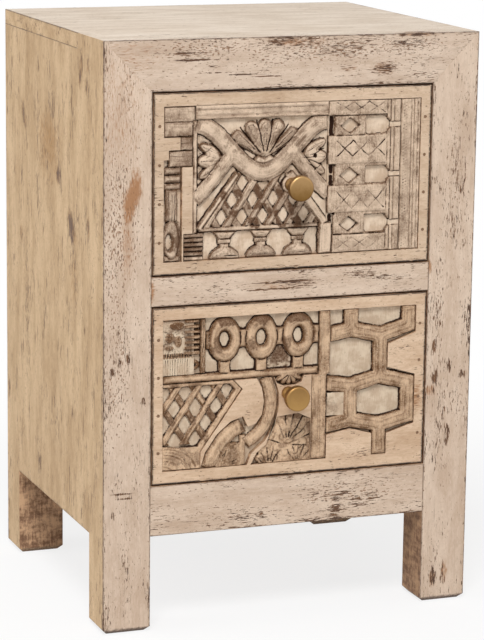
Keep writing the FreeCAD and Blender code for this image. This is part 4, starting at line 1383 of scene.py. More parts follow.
@dataclass
class Drawer:
    """One drawer: its box, nails, knob and carved front.

    Attributes:
        name: Upper or lower, as its nodes are named.
        wash: The finish of its front board.
        carving: The finish of its carved pieces.
        brass: The colours of its knob's upper and lower edge, with their painted reflections.
        seed: A number that gives its boards their own grain.
        edge_ease: The rounding of the front board's arrises, in millimetres.
    """

    name: str
    wash: Whitewash
    carving: CarvedWash
    brass: tuple[Colour, Colour]
    seed: float
    edge_ease: float = 0.7

    seed_step: ClassVar[float] = 0.37
    nail_metal: ClassVar[Colour] = shade(150, 122, 98)
    nail_rust: ClassVar[Colour] = shade(112, 80, 56)

    @property
    def body(self) -> str:
        """Returns the name of the drawer's body."""
        return f"{self.name}_drawer"

    @property
    def middle(self) -> float:
        """Returns the height of the front's middle, in millimetres."""
        low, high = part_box(f"{self.body}_front")
        return (low.z + high.z) / 2 * MILLIMETRES

    @property
    def front(self) -> float:
        """Returns the depth of the front's face, in millimetres."""
        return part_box(f"{self.body}_front")[0].y * MILLIMETRES

    @property
    def knob_middle(self) -> Vector:
        """Returns the middle of the knob, in millimetres."""
        low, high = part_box(f"{self.name}_knob")
        return (low + high) / 2 * MILLIMETRES

    def dress_box(self) -> None:
        """Gives the front board its wash, and the box behind it raw wood."""
        dress_board(f"{self.body}_front", self.wash, self.edge_ease)
        grains = {"left_side": Grain.DEEP, "right_side": Grain.DEEP}
        grains |= {"back": Grain.SIDEWAYS, "bottom": Grain.SIDEWAYS}
        for index, (part, grain) in enumerate(grains.items()):
            dress_hidden(f"{self.body}_{part}", RawWood(grain, self.seed + index))

    def dress_metal(self) -> None:
        """Gives the knob its brass and the nails, washer and screw their steel."""
        centre = self.knob_middle
        brass = SatinBrass(*self.brass, (centre.x, centre.z), self.seed)
        cover(f"{self.name}_knob", brass.material(f"{self.name}_knob_brass"))
        painted = AgedSteel(self.nail_metal, self.nail_rust, self.seed)
        cover(f"{self.name}_front_nails", painted.material(f"{self.name}_front_nails_steel"))
        for index, part in enumerate(("knob_washer", "knob_screw")):
            name = f"{self.name}_{part}"
            cover(name, AgedSteel(seed=self.seed + index).material(name + "_steel"))

    def carve(self) -> None:
        """Makes the carved pieces of the front."""
        for index, design in enumerate(self.designs()):
            design.seed = self.seed + self.seed_step * index
            piece = design.build(self.carving)
            LOG.info("%s: carved, %d points", piece.name, len(piece.data.vertices))

    def design(self, part: str, **details: object) -> CarvedPiece:
        """Starts one carved piece of this drawer.

        Args:
            part: The piece's name without that of the drawer.
            details: Its cuts, stains and other fields.

        Returns:
            The piece.
        """
        centre = self.knob_middle
        bore = (centre.x, centre.z - self.middle)
        return CarvedPiece(f"{self.name}_{part}", self.body, self.middle, self.front, bore, **details)

    def designs(self) -> list[CarvedPiece]:
        """Returns the carved pieces of the front, which each drawer draws for itself."""
        raise NotImplementedError


class UpperDrawer(Drawer):
    """The drawer with the shell under an ogee, the vases and the row of diamond windows."""

    shell_root: ClassVar[Point] = (-31.5, 22.0)
    axis: ClassVar[float] = -33.0

    def column(self) -> CarvedPiece:
        """Draws the stepped column.

        Returns:
            The piece.
        """
        cuts = strokes(
            (-136, 61.4, -106, 61.4), (-132.4, -8, -132.4, -36), (-129.2, -8, -129.2, -36),
            (-126, -8, -126, -36), (-131, 27.6, -109, 27.6), (-119, 40, -106, 40),
        )
        stains = browned(Where.ALL, (-123, -58, 5, 15, 0.8), (-112, 26, 7, 8, 0.6), (-113.5, 40, 7, 6, 0.6))
        return self.design(
            "column_piece", pitch=0.6, soot=0.85, lined=0.25, speckle=0.6, shadow=1.1, incisions=cuts,
            fills=(Fill(-121, 61, 16, 3, -0.8),), stains=stains,
            edges=ROUND | {CREST: Rounding(5.5, 3.0), LOBE: Rounding(4.5, 2.6)},
        )

    def crown(self) -> CarvedPiece:
        """Draws the strip above the shell.

        Returns:
            The piece.
        """
        return self.design(
            "crown_strip", grain=Grain.SIDEWAYS, edges=FLAT, rubbed=-0.14, soot=0.7, lined=0.25,
            fills=(Fill(-33, 70, 80, 20, -0.7),),
            stains=browned(Where.ALL, (-10, 72, 60, 4, 0.4), (-70, 66, 40, 3, 0.4)),
        )

    def ogee_cuts(self) -> tuple[Incision, ...]:
        """Draws the cuts of the shell, the leaves and the vases.

        Returns:
            The cuts.
        """
        notches = ((-56.5, 53.0), (-39.5, 60.0), (-22.5, 60.5), (-5.2, 54.5))
        flutes = (
            (-67.0, 44.0), (-62.0, 50.0), (-50.5, 57.5), (-45.0, 59.5), (-33.5, 61.0), (-28.5, 61.0),
            (-17.0, 60.0), (-11.5, 59.0), (0.5, 51.0), (5.5, 45.5),
        )
        veins = (
            (41, 21.5, 66, 21.5), (46, 26.5, 64, 36.5), (46, 16.5, 64, 6.5), (50, 24, 66, 29),
            (50, 19, 66, 13), (55, 35, 62, 30), (55, 8, 62, 13),
        )
        leaf_veins = []
        for side in (-1, 1):
            for root, low, tip, high in veins:
                leaf_veins.append((self.axis + side * root, low, self.axis + side * tip, high))
        rings = ((12, -50.5), (6, -57), (7, -66), (14, -74))
        vases = []
        for axis in (-73.0, -34.0, 5.5):
            vases += [(axis - reach, z, axis + reach, z) for reach, z in rings]
        eye = strokes((22.5, 23.2, 22.5, 22.8), width=2.4, depth=2.6, faded=0.0)
        shell = fan(self.shell_root, notches, 0.2, 1.0, 1.6) + fan(self.shell_root, flutes, 0.35, 0.92, 0.6)
        return shell + strokes(*leaf_veins, depth=0.6) + strokes(*vases, depth=0.5) + eye

    def ogee(self) -> CarvedPiece:
        """Draws the ogee with its shell, leaves, lattice and vases.

        Returns:
            The piece.
        """
        chance = np.random.default_rng(5)
        clumps = []
        for x, z in chance.uniform((-84, -44), (18, -8), (26, 2)):
            half_width, half_height = chance.uniform(3.0, 6.0, 2)
            clumps.append((x, z, half_width, half_height, 0.95))
        stains = browned(
            Where.MOTIF, *clumps,
            (-33, -28, 54, 20, 0.25), (-62, 48, 6, 8, 0.6), (1, 49, 6, 7, 0.6), (-106, -63, 12, 14, 0.6),
            (-33, -71, 52, 6, 0.58), (-80, 45, 16, 6, 0.38), (14, 45, 16, 6, 0.34), (-33, 42, 36, 17, 0.62),
            (-33, 12, 60, 12, 0.22),
        )
        stains += browned(Where.ALL, (22, 0, 9, 10, 0.5)) + browned(Where.GROUND, (-95, 24, 12, 22, 0.55))
        return self.design(
            "ogee_piece", over_bore=True, pitch=0.65, rubbed=-0.18, soot=1.15, lined=0.8, speckle=0.7,
            slim=-0.5, shadow=1.4, edges=ROUND | {CREST: Rounding(7.0, 2.5)}, stains=stains,
            grooves=(
                Groove(CREST, 4.4, 0.5, 0.3), Groove(LOW, 2.6, 0.5, 0.4), Groove(LOWER, 2.6, 0.5, 0.4),
            ),
            incisions=self.ogee_cuts(),
        )

    def diamonds(self) -> CarvedPiece:
        """Draws the row of diamond windows between zigzag bands.

        Returns:
            The piece.
        """
        bands = ((64.4, 75.4, 0.55), (20.6, 36.6, 0.8), (-32.6, -14.6, 0.6), (-74.0, -62.0, 0.5))
        zigzags = sum((crossed_zigzag(46.0, 98.0, low, high, 3, depth) for low, high, depth in bands), ())
        slots = strokes(
            (41, 60, 41, 44), (41, 11, 41, 5), (41, 0, 41, -7), (40.5, -40, 41, -56),
            width=2.4, depth=2.4, faded=0.0,
        )
        slits = tuple(Fill(73, z, 28, 1.7, -0.9) for z in (12.2, -37.3))
        tails = tuple(Fill(110.3, z, 5.6, 2.4, -1.6, True) for z in (51.6, 1.0, -48.6))
        stains = browned(Where.ALL, (70, 70, 24, 5, 0.4), (80, -26, 20, 6, 0.35), (70, -70, 26, 5, 0.4))
        return self.design(
            "diamond_piece", pitch=0.6, edges=FLAT, soot=1.05, faint=0.35, lined=0.2, rubbed=-0.1,
            slim=0.3, shadow=1.2, incisions=zigzags + slots, fills=slits + tails,
            stains=stains + browned(Where.MOTIF, (108, 0, 5, 70, 0.35)),
        )

    def edge_strip(self) -> CarvedPiece:
        """Draws the stippled strip at the right edge.

        Returns:
            The piece.
        """
        half_dot, rows, spacing = 0.3, 48, 3.1
        dots = []
        for row in range(rows):
            for x, shift in ((119.0, 0.0), (121.8, 1.5)):
                z = -74.0 + spacing * row + shift
                dots.append((x - half_dot, z, x + half_dot, z))
        return self.design(
            "edge_strip", edges=FLAT, rubbed=-0.14, soot=0.8, lined=0.1, faint=0.2,
            fills=(Fill(125, 0, 20, 90, -1.5),), incisions=strokes(*dots, width=0.8, depth=0.8),
            stains=browned(Where.ALL, (121, 0, 5, 75, 0.42)),
        )

    def designs(self) -> list[CarvedPiece]:
        """Returns the carved pieces of the upper front."""
        return [self.column(), self.crown(), self.ogee(), self.diamonds(), self.edge_strip()]


class LowerDrawer(Drawer):
    """The drawer with the row of rings, the lattice, the flower and the hexagons."""

    def ladder(self) -> CarvedPiece:
        """Draws the block with the comb and the ladder beside it.

        Returns:
            The piece.
        """
        comb = [(-134.45 + 2.6 * index, 21, -134.45 + 2.6 * index, 37) for index in range(10)]
        comb += [(-136 + 3.2 * index, 38, -134.5 + 3.2 * index, 42) for index in range(8)]
        cuts = strokes((-94.6, 22, -94.6, 76)) + strokes(*comb, width=0.7, depth=0.6, faded=0.3)
        return self.design(
            "ladder_piece", pitch=0.45, rubbed=-0.06, shadow=0.9, edges=ROUND | {FLUSH: Rounding(1.6, 1.4)},
            fills=(Fill(-122, 28, 18, 11, -1.1, True), Fill(-122, 57, 18, 19, -2.6, True)),
            incisions=cuts + tangle((-126, 58), (-137, 44), (-118, 73), 45, 0.7),
            stains=browned(
                Where.ALL, (-123, 68, 8, 6, 0.65), (-130, 53, 7, 8, 0.65), (-110, 56, 4, 18, 0.7),
                (-97, 70, 4, 8, 0.6), (-122, 40.5, 16, 0.8, 0.7),
            ),
        )

    def rings(self) -> CarvedPiece:
        """Draws the row of rings with the small shell under it.

        Returns:
            The piece.
        """
        shell = fan((-2.0, 14.5), ((-12.6, 6.4), (-5.8, 3.6), (1.8, 3.6), (8.8, 6.4)), 0.2, 1.0, 0.6)
        hatching = strokes(
            (-24, 30, -4, 31), (-22, 36, -6, 37), (-20, 33, -8, 34), (-24, 27, -3, 28), (-17, 40, -9, 40),
            width=0.8, depth=0.5,
        )
        stains = browned(Where.GROUND, (-13, 33, 14, 11, 0.9), (-13, 63, 4, 3, 0.6), (-51, 63, 4, 3, 0.6))
        stains += browned(
            Where.MOTIF, (-71, 74, 12, 6, 0.85), (-33, 74, 12, 6, 0.85), (4, 73, 12, 6, 0.85),
            (-79, 48, 5, 8, 0.75), (-42, 48, 5, 8, 0.75), (-5, 50, 5, 8, 0.75),
        )
        return self.design(
            "ring_piece", rubbed=-0.05, soot=1.6, lined=0.4, speckle=0.6, shadow=1.4,
            edges=ROUND | {LOBE: Rounding(5.0, 1.9), CREST: Rounding(6.0, 3.0), LOW: Rounding(2.2, 1.2)},
            incisions=shell + hatching, stains=stains,
        )

    def lattice(self) -> CarvedPiece:
        """Draws the lattice with the fan in its lower corner.

        Returns:
            The piece.
        """
        stains = browned(
            Where.MOTIF, (-131, -26, 6, 9, 0.8), (-107, -23, 6, 9, 0.8), (-85, -21, 6, 9, 0.8),
            (-119, -44, 6, 8, 0.8), (-96, -44, 6, 8, 0.8), (-125, 10, 5, 4, 0.7), (-103, 11, 5, 4, 0.7),
            (-76, 0, 5, 7, 0.7), (-60, 6, 6, 7, 0.45),
        )
        return self.design(
            "lattice_piece", pitch=0.6, slim=0.1, rubbed=-0.3, soot=0.85,
            grooves=(Groove(LOW, 2.4, 0.5, 0.4), Groove(LOWER, 2.4, 0.5, 0.4)),
            fills=(Fill(-117, -66, 24, 11, -0.9),),
            incisions=arcs((-140.0, -92.0), tuple(range(12, 40, 4)), 15, 95, 0.4),
            stains=stains + browned(Where.ALL, (-113, -66, 20, 8, 0.6)),
        )

    def hook(self) -> CarvedPiece:
        """Draws the hooked band and the leaf in its bend.

        Returns:
            The piece.
        """
        leaf = []
        for share in (0.15, 0.35, 0.55, 0.75):
            x, z = -90 + 38 * share, -76 + 42 * share
            leaf.append((x + 1, z, x + 5.5, z - 6))
        return self.design(
            "hook_piece", soot=0.85, lined=0.5, rubbed=-0.13, shadow=1.0,
            grooves=(Groove(CREST, 3.0, 0.6, 0.35),), edges=ROUND | {CREST: Rounding(6.0, 2.6)},
            fills=(Fill(-66, -66, 14, 12, -0.9),),
            incisions=strokes(*leaf, depth=0.6) + tangle((-78, -84), (-80, -77), (-57, -58), 40, 0.8),
            stains=browned(Where.ALL, (-62, -66, 5, 8, 0.6), (-50, -38, 6, 5, 0.8)),
        )

    def flower(self) -> CarvedPiece:
        """Draws the flower between two leaves.

        Returns:
            The piece.
        """
        root, right_root, left_root = (-3.5, -60.0), (9.0, -82.0), (-22.0, -82.0)
        gaps = (
            (-27, -52), (-24, -40), (-15, -31), (-5, -27), (5, -27), (14, -31), (20, -39),
            (22, -50), (21, -62),
        )
        veins = ((-26, -46), (-20, -35), (-10, -28), (0, -26), (10, -28), (18, -34), (22, -44), (22, -56))
        right_leaf = ((-3, -65), (3, -62), (9, -61), (15, -63), (21, -67))
        left_leaf = ((-37, -70), (-31, -66), (-25, -62), (-18, -61), (-11, -65))
        cuts = fan(root, gaps, 0.25, 1.05, 0.7, 1.7) + fan(root, veins, 0.4, 0.95, 0.35)
        for leaf_root, leaf in ((right_root, right_leaf), (left_root, left_leaf)):
            cuts += fan(leaf_root, leaf, 0.3, 1.0, 0.6, 1.5)
        return self.design(
            "flower_piece", shadow=1.0, soot=1.1, rubbed=-0.2, fills=(Fill(-4, -52, 30, 28, -1.0),),
            incisions=cuts + tangle((-4, -90), (-29, -77), (22, -40), 70, 0.6),
            stains=browned(
                Where.ALL, (4, -30, 18, 3, 0.75), (20, -44, 2.5, 9, 0.7), (-30, -74, 14, 3, 0.6),
                (-8, -60, 5, 2.5, 0.6),
            ),
        )

    def post(self) -> CarvedPiece:
        """Draws the plain post.

        Returns:
            The piece.
        """
        return self.design(
            "post_piece", edges=FLAT, rubbed=-0.02, soot=0.8, lined=0.5,
            incisions=strokes((25.6, -76, 25.6, 10), depth=0.35),
            stains=browned(Where.ALL, (28, -20, 3, 12, 0.5), (34, 50, 3, 24, 0.4)),
        )

    def honeycomb(self) -> CarvedPiece:
        """Draws the lattice of hexagons.

        Returns:
            The piece.
        """
        stains = browned(Where.ALL, (47, -24, 6, 7, 0.5)) + browned(Where.MOTIF, (116, 60, 10, 6, 0.4))
        return self.design(
            "honeycomb_piece", pitch=0.6, soot=1.05, lined=0.5, speckle=0.7, rubbed=0.05, shadow=1.3,
            edges=ROUND | {CREST: Rounding(4.5, 1.6)}, fills=(Fill(50, -21, 9, 12, -1.0, True),),
            incisions=tangle((50, -40), (43, -30), (56, -14), 14, 0.4), stains=stains,
        )

    def designs(self) -> list[CarvedPiece]:
        """Returns the carved pieces of the lower front."""
        left = [self.ladder(), self.rings(), self.lattice(), self.hook()]
        return left + [self.flower(), self.post(), self.honeycomb()]


def cover(node: str, material: bpy.types.Material) -> None:
    """Gives a CAD node one material on all its faces.

    Args:
        node: The node's name.
        material: Its finish.
    """
    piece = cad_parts[node]
    if not piece.material_slots:
        piece.data.materials.append(material)
    for slot in piece.material_slots:
        slot.material = material
    LOG.info("%s: %s", node, material.name)


def ease_edges(node: str, width: float) -> None:
    """Rounds the arrises of a CAD board a little, as handling does.

    Args:
        node: The node's name.
        width: The rounding, in millimetres.
    """
    same_point, same_plane, sharp_edge = 1e-5, math.radians(1.0), math.radians(40.0)
    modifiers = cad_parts[node].modifiers
    weld = modifiers.new("joined_faces", "WELD")
    weld.merge_threshold = same_point
    flat = modifiers.new("whole_faces", "DECIMATE")
    flat.decimate_type = "DISSOLVE"
    flat.angle_limit = same_plane
    ease = modifiers.new("eased_edges", "BEVEL")
    ease.width = width / MILLIMETRES
    ease.segments = 2
    ease.limit_method = "ANGLE"
    ease.angle_limit = sharp_edge
    even = modifiers.new("flat_faces", "WEIGHTED_NORMAL")
    even.keep_sharp = False


def dress_board(node: str, wash: Whitewash, ease: float) -> None:
    """Finishes a whitewashed board, its arrises rounded by so many millimetres."""
    ease_edges(node, ease)
    cover(node, wash.material(node + "_whitewash", *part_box(node)))


def dress_hidden(node: str, wood: RawWood) -> None:
    """Finishes a board of raw wood inside the nightstand."""
    ease_edges(node, HIDDEN_EASE)
    cover(node, wood.material(node + "_raw_wood"))


# Rounding of the hidden boards' arrises, in millimetres
HIDDEN_EASE = 0.5

# Brass of the knobs with painted reflections, and washes of the boards and of the carving
UPPER_BRASS_WITH_REFLECTION = (shade(170, 137, 94), shade(123, 91, 49))
LOWER_BRASS_WITH_REFLECTION = (shade(146, 112, 69), shade(174, 137, 84))
UPPER_CARVING = CarvedWash()
LOWER_CARVING = CarvedWash(
    ground_pale=shade(212, 193, 169),
    ground_dull=shade(190, 167, 143),
    motif_pale=shade(208, 177, 146),
    motif_wood_and_shade=shade(104, 73, 47),
)
FRONT_COAT = Coat(shade(215, 194, 174), shade(187, 162, 140), shade(170, 138, 110))
RAIL_COAT = Coat(shade(213, 193, 174), shade(185, 161, 140), shade(170, 138, 111))
SIDE_COAT = Coat(shade(205, 176, 139), shade(168, 137, 99), shade(108, 76, 44), 0.2, 0.8)
TOP_COAT = Coat(shade(229, 215, 199), shade(200, 181, 160), shade(182, 156, 130))
UPPER_BORDER_COAT = Coat(shade(212, 187, 161), shade(180, 151, 123), shade(156, 121, 89))
LOWER_BORDER_COAT = Coat(shade(219, 192, 164), shade(188, 156, 126), shade(158, 122, 89))
OUTER_SIDES = ((Side.LEFT, SIDE_COAT), (Side.RIGHT, SIDE_COAT))
FRONT_WASH = Whitewash(FRONT_COAT, coats=(*OUTER_SIDES, (Side.ABOVE, TOP_COAT)), wear=0.012)
SIDE_WASH = Whitewash(
    SIDE_COAT, coats=((Side.ABOVE, TOP_COAT),), wear=0.012, edge_wear=0.4, warm=shade(158, 118, 70),
)
TOP_WASH = Whitewash(
    TOP_COAT, coats=(*OUTER_SIDES, (Side.BACK, SIDE_COAT)), joined=(Side.FRONT,), grain=Grain.SIDEWAYS,
    wear=-0.03, edge_line=0.75,
)
# The drawer fronts' dark edge line is painted shade in the gaps round them
BORDER_WASH = Whitewash(
    UPPER_BORDER_COAT, grain=Grain.SIDEWAYS, edge_wear=0.3, edge_line=1.0, edge_reach=1.7,
    edge_grime_and_shade=shade(34, 18, 10), raw_faces=(Side.LEFT, Side.RIGHT, Side.ABOVE, Side.BELOW, Side.BACK),
)


@dataclass
class Carcass:
    """Posts, rails, boards and hidden runners of the nightstand.

    Attributes:
        front: The depth of the front face, in millimetres.
        left: The place of the left face, in millimetres.
        patch_depth: How deep a worn place goes into the wood, in millimetres.
        mitre_ease: The rounding of the posts and the rail that are mitred, in millimetres.
        ease: The rounding of the other boards' arrises, in millimetres.
    """

    front: float = -160.0
    left: float = -200.0
    patch_depth: float = 30.0
    mitre_ease: float = 0.15
    ease: float = 0.9

    left_seed: ClassVar[float] = 6.0
    right_seed: ClassVar[float] = 7.0
    top_seed: ClassVar[float] = 8.0
    middle_seed: ClassVar[float] = 4.0
    bottom_seed: ClassVar[float] = 5.0
    back_seed: ClassVar[float] = 11.0
    right_raw_light: ClassVar[Colour] = shade(182, 146, 112)

    def patches(self, *rows: tuple[float, ...]) -> tuple[WornPatch, ...]:
        """Places worn patches on the front face.

        Args:
            rows: For each its x and z, its reach along both, its strength, and its glow and specks if any.

        Returns:
            The patches.
        """
        return tuple(
            WornPatch((x, self.front, z), (reach_x, self.patch_depth, reach_z), *looks)
            for x, z, reach_x, reach_z, *looks in rows
        )

    def dress_posts(self) -> None:
        """Finishes the front posts."""
        post = replace(FRONT_WASH, joined=(Side.ABOVE, Side.BACK), edge_line=0.75)
        left_patches = self.patches(
            (-166, 455, 8, 21, -0.1, 1.0, -0.3), (-173, 440, 9, 20, -0.1, 0.85, -0.2),
            (-175, 398, 9, 52, 0.0, 0.6), (-186, 405, 19, 95, 0.1, 0.0, 1.0),
            (-187, 275, 16, 85, 0.12, 0.0, 0.8), (-166, 395, 9, 30, 0.1, 0.0, 0.5),
            (-184, 535, 44, 120, 0.0, 0.44), (-190, 271, 4, 6, 1.2), (-158, 240, 4, 6, 1.2),
            (-190, 124, 4, 6, 1.2), (-183, 280, 3, 7, 1.0), (-174, 284, 3, 7, 1.0),
            (-180, 146, 14, 1.4, 1.2), (-176, 141, 11, 1.2, 1.2), (-176, 68, 6, 24, 0.55),
        )
        right_patches = self.patches(
            (164, 25, 6.0, 14, 0.75, 0.9), (177, 31, 6.0, 18, 0.75, 0.9), (162, 330, 8, 120, 0.25, 0.0, 0.4),
            (182, 470, 14, 110, 0.25, 0.0, 0.6), (190, 230, 10, 90, 0.3, 0.0, 0.4),
            (159, 276, 3.5, 12, 1.0), (160, 243, 5, 8, 1.15, 0.2), (177, 255, 3.5, 12, 1.05),
            (191, 244, 5, 6, 1.15, 0.2), (197, 299, 7, 30, 0.6), (177, 184, 4, 9, 1.1),
            (176, 173, 3.5, 7, 1.05), (154, 230, 12, 9, 0.2, 0.8), (151, 360, 4, 10, 0.0, 0.9),
            (166, 180, 18, 60, 0.3),
        )
        left = replace(post, seed=self.left_seed, raw_faces=(Side.RIGHT,), patches=left_patches)
        right = replace(post, seed=self.right_seed, raw_faces=(Side.LEFT,), patches=right_patches)
        dress_board("front_left_leg", left, self.mitre_ease)
        dress_board("front_right_leg", replace(right, raw_light=self.right_raw_light), self.mitre_ease)

    def dress_rails(self) -> None:
        """Finishes the rails between the front posts."""
        top_patches = self.patches(
            (94, 565, 18, 9, 1.05, 0.8), (57, 566, 14, 3, 0.6, 0.7), (-2, 595, 48, 7, 0.85, 0.8),
            (133, 599, 32, 3, 0.6, 0.9), (-175, 582, 60, 30, 0.0, 0.4), (-86, 566, 22, 1.0, 1.4),
            (-56, 563.5, 22, 1.0, 1.4), (-27, 561, 20, 1.0, 1.4), (-108, 579, 27, 1.4, 1.3),
            (-119, 586, 13, 1.3, 1.2), (-88, 572, 10, 1.2, 1.1), (-110, 590, 60, 10, 0.15, 0.0, 0.8),
            (20, 584, 210, 22, 0.1, 0.0, 0.55), (40, 585, 60, 12, 0.3, 0.0, 0.4),
            (130, 590, 40, 8, 0.5, 0.0, 0.5),
        )
        middle_patches = self.patches(
            (-10, 353, 44, 1.6, 1.0, 0.3), (-24, 346, 34, 1.3, 1.1, 0.4), (-8, 350, 46, 8, 0.5, 0.5),
            (75, 357, 20, 6, 0.85, 0.5, 0.3), (100, 352, 30, 5, 0.5, 0.0, 0.3), (-150, 350, 5, 14, 0.0, 1.0),
        )
        bottom_patches = self.patches(
            (40, 127, 40, 7, 0.6, 0.2), (50, 113, 8, 10, 0.8, 0.3), (90, 120, 26, 6, 0.45),
            (-60, 112, 70, 10, 0.4), (68, 127, 72, 20, 0.04, 0.25, 0.75), (-70, 118, 60, 16, 0.0, 0.0, 0.35),
        )
        joined = (Side.LEFT, Side.RIGHT, Side.BACK)
        top = replace(FRONT_WASH, grain=Grain.SIDEWAYS, joined=joined, edge_line=0.7, raw_faces=(Side.BELOW,))
        rail = replace(top, raw_faces=(Side.ABOVE, Side.BELOW))
        top = replace(top, coat=RAIL_COAT, seed=self.top_seed, patches=top_patches)
        middle = replace(rail, seed=self.middle_seed, patches=middle_patches)
        bottom = replace(rail, seed=self.bottom_seed, patches=bottom_patches)
        dress_board("front_top_rail", top, self.mitre_ease)
        dress_board("front_middle_rail", middle, self.ease)
        dress_board("front_bottom_rail", bottom, self.ease)

    def side_patches(self) -> tuple[WornPatch, ...]:
        """Places the chips and the ochre stains of the left side board.

        Returns:
            Its worn places.
        """
        chips = (
            (-87, 568, 9, 17), (-82, 553, 7, 13), (-109, 571, 8, 13), (-105, 549, 9, 12), (121, 500, 10, 17),
            (112, 486, 9, 12), (-126, 505, 7, 14), (-143, 477, 10, 12), (-7, 447, 9, 12),
            (-120, 450, 16, 13), (-127, 440, 12, 12), (-48, 409, 15, 14), (-58, 396, 15, 14),
            (-112, 412, 12, 12), (-119, 401, 12, 10), (131, 364, 9, 15),
        )
        stains = ((28, 474, 62, 56, 0.8), (-62, 350, 24, 60, 0.55), (112, 310, 24, 60, 0.45))
        rows = [(*chip, 0.68, 0.8) for chip in chips]
        rows += [(*reach, 0.3, glow) for *reach, glow in stains]
        return tuple(
            WornPatch((self.left, y, z), (self.patch_depth, reach_y, reach_z), strength, glow)
            for y, z, reach_y, reach_z, strength, glow in rows
        )

    def dress_sides(self) -> None:
        """Finishes the top, the side boards, the back and the back posts."""
        side = replace(SIDE_WASH, joined=(Side.FRONT, Side.BACK, Side.ABOVE))
        left_board = replace(side, seed=self.left_seed, patches=self.side_patches())
        dress_board("left_side_board", left_board, self.ease)
        dress_board("right_side_board", replace(side, seed=self.right_seed), self.ease)
        dress_board("top_board", replace(TOP_WASH, seed=self.top_seed), self.mitre_ease)
        rear = replace(SIDE_WASH, joined=(Side.FRONT, Side.ABOVE))
        left = replace(rear, seed=self.left_seed, raw_faces=(Side.FRONT, Side.RIGHT))
        right = replace(rear, seed=self.right_seed, raw_faces=(Side.FRONT, Side.LEFT))
        dress_board("back_left_leg", left, self.mitre_ease)
        dress_board("back_right_leg", right, self.mitre_ease)
        dress_board("back_board", replace(SIDE_WASH, seed=self.back_seed, wear=0.01), self.mitre_ease)

    def dress_inside(self) -> None:
        """Finishes back rails, runners, kickers, stops, the dust board and the fasteners."""
        sides = ("left", "right")
        rails = ["back_top_rail", "back_bottom_rail"]
        runners = [f"{drawer}_{side}_runner" for drawer in ("upper", "lower") for side in sides]
        runners += [f"{side}_kicker" for side in sides]
        crosswise = ["upper_stop_blocks", "lower_stop_blocks", "dust_board"]
        groups = (
            (rails, Grain.SIDEWAYS, 20.0), (runners, Grain.DEEP, 30.0), (crosswise, Grain.SIDEWAYS, 40.0),
        )
        for names, grain, first_seed in groups:
            for index, node in enumerate(names):
                dress_hidden(node, RawWood(grain, first_seed + index))
        for index, node in enumerate(("runner_screws", "back_board_nails")):
            cover(node, AgedSteel(seed=50.0 + index).material(node + "_steel"))


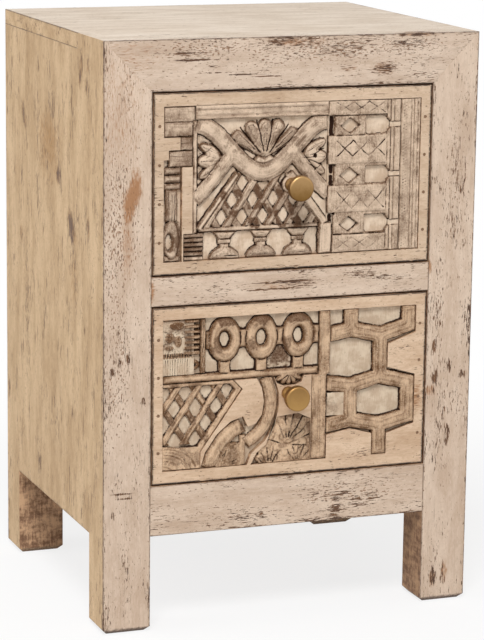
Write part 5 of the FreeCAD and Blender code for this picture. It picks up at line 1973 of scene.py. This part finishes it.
@dataclass
class Studio:
    """Floor, light and camera of the picture.

    Attributes:
        eye: The camera's place, in metres.
        azimuth: The camera's turn from straight ahead, in degrees.
        elevation: The camera's height angle, in degrees.
        roll: The camera's tilt, in degrees.
        focal_pixels: The focal length in pixels of the picture.
        picture_height: The picture's longer side in pixels.
        sensor: The width of the camera's sensor, in millimetres.
        ambient: The strength of the even light all round.
        daylight: The colour of that light.
        white: The colour behind the object.
        paper: The colour of the floor.
        floor_reach: How far the floor goes to each side, in metres.
    """

    eye: tuple[float, float, float] = (-0.9894, -2.6328, 0.8648)
    azimuth: float = -20.722
    elevation: float = 11.719
    roll: float = 0.701
    focal_pixels: float = 2689.477
    picture_height: float = 640.0
    sensor: float = 36.0
    ambient: float = 0.3
    daylight: Colour = (1.0, 0.985, 0.965, 1.0)
    white: Colour = (1.0, 1.0, 1.0, 1.0)
    paper: Colour = (0.86, 0.86, 0.86, 1.0)
    floor_reach: float = 12.0

    def set_camera(self) -> None:
        """Places the camera where the picture was taken."""
        turn, rise, tilt = (math.radians(angle) for angle in (self.azimuth, self.elevation, self.roll))
        back = Vector((math.sin(turn) * math.cos(rise), -math.cos(turn) * math.cos(rise), math.sin(rise)))
        level = Vector((math.cos(turn), math.sin(turn), 0.0))
        upright = back.cross(level)
        right = level * math.cos(tilt) + upright * math.sin(tilt)
        up = upright * math.cos(tilt) - level * math.sin(tilt)
        data = bpy.data.cameras.new("camera")
        data.sensor_width = self.sensor
        data.lens = self.focal_pixels * self.sensor / self.picture_height
        data.clip_end = 100.0
        camera = bpy.data.objects.new("camera", data)
        camera.matrix_world = Matrix.Translation(self.eye) @ Matrix((right, up, back)).transposed().to_4x4()
        bpy.context.scene.collection.objects.link(camera)
        bpy.context.scene.camera = camera

    def add_lamp(self, name: str, place: Vector, aim: Vector, size: float, power: float) -> None:
        """Adds a soft square lamp.

        Args:
            name: The lamp's name.
            place: Where it hangs, in metres.
            aim: The point it shines at.
            size: Its width, in metres.
            power: Its power in watts.
        """
        data = bpy.data.lights.new(name, "AREA")
        data.size = size
        data.energy = power
        lamp = bpy.data.objects.new(name, data)
        lamp.location = place
        lamp.rotation_euler = (aim - place).to_track_quat("-Z", "Y").to_euler()
        bpy.context.scene.collection.objects.link(lamp)

    def set_world(self) -> None:
        """Surrounds the object with even light, and shows white behind it."""
        world = bpy.data.worlds.new("studio")
        nodes = Nodes(world)
        soft = nodes.take(0, "ShaderNodeBackground", None, {"Color": self.daylight, "Strength": self.ambient})
        white = nodes.take(0, "ShaderNodeBackground", None, {"Color": self.white})
        shown = nodes.take(0, "ShaderNodeMixShader", None, {0: nodes.seen_straight(), 1: soft, 2: white})
        nodes.add("ShaderNodeOutputWorld", None, {"Surface": shown})
        bpy.context.scene.world = world

    def lay_floor(self) -> None:
        """Lays a pale floor that keeps the object's shadow."""
        reach = self.floor_reach
        mesh = bpy.data.meshes.new("studio_floor")
        corners = [(-reach, -reach, 0.0), (reach, -reach, 0.0), (reach, reach, 0.0), (-reach, reach, 0.0)]
        mesh.from_pydata(corners, [], [(0, 1, 2, 3)])
        floor = bpy.data.objects.new("studio_floor", mesh)
        bpy.context.scene.collection.objects.link(floor)
        material = bpy.data.materials.new("studio_paper")
        nodes = Nodes(material)
        paper = nodes.take(0, "ShaderNodeBsdfDiffuse", None, {"Color": self.paper})
        white = nodes.take(0, "ShaderNodeEmission", None, {"Color": self.white})
        away = nodes.length(nodes.take("Object", "ShaderNodeTexCoord"))
        share = nodes.seen_straight() * (away.fade(0.3, 1.1) * 0.2 + 0.8)
        shown = nodes.take(0, "ShaderNodeMixShader", None, {0: share, 1: paper, 2: white})
        nodes.add("ShaderNodeOutputMaterial", None, {"Surface": shown})
        mesh.materials.append(material)

    def build(self) -> None:
        """Sets the whole studio."""
        self.set_camera()
        self.set_world()
        self.lay_floor()
        aim = Vector((0.0, 0.0, 0.32))
        self.add_lamp("key_lamp", Vector((-1.2, -2.55, 3.59)), aim, 1.35, 138.0)
        self.add_lamp("fill_lamp", Vector((1.9, -1.9, 1.0)), aim, 1.6, 8.0)
        self.add_lamp("side_lamp", Vector((-2.4, 0.3, 1.2)), aim, 1.6, 22.0)
        self.add_lamp("back_lamp", Vector((0.9, 2.5, 0.3)), aim, 0.9, 14.0)
        bpy.context.scene.view_settings.view_transform = "Standard"


def main() -> None:
    """Builds the nightstand's looks in order and reports each piece."""
    logging.basicConfig(level=logging.INFO, format="%(message)s")
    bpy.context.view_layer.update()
    Studio().build()
    carcass = Carcass()
    carcass.dress_posts()
    carcass.dress_rails()
    carcass.dress_sides()
    carcass.dress_inside()
    worn = carcass.patches(
        (-142, 243, 8, 0.8, 1.1), (139, 224, 10, 26, 0.2, 0.75), (66, 166, 30, 8, 0.2, 0.45),
    )
    upper_wash = replace(BORDER_WASH, seed=12.0)
    lower_wash = replace(BORDER_WASH, coat=LOWER_BORDER_COAT, seed=13.0, patches=worn)
    drawers = [
        UpperDrawer("upper", upper_wash, UPPER_CARVING, UPPER_BRASS_WITH_REFLECTION, 60.0),
        LowerDrawer("lower", lower_wash, LOWER_CARVING, LOWER_BRASS_WITH_REFLECTION, 70.0),
    ]
    for drawer in drawers:
        drawer.dress_box()
        drawer.dress_metal()
        drawer.carve()


if __name__ == "__main__":
    main()
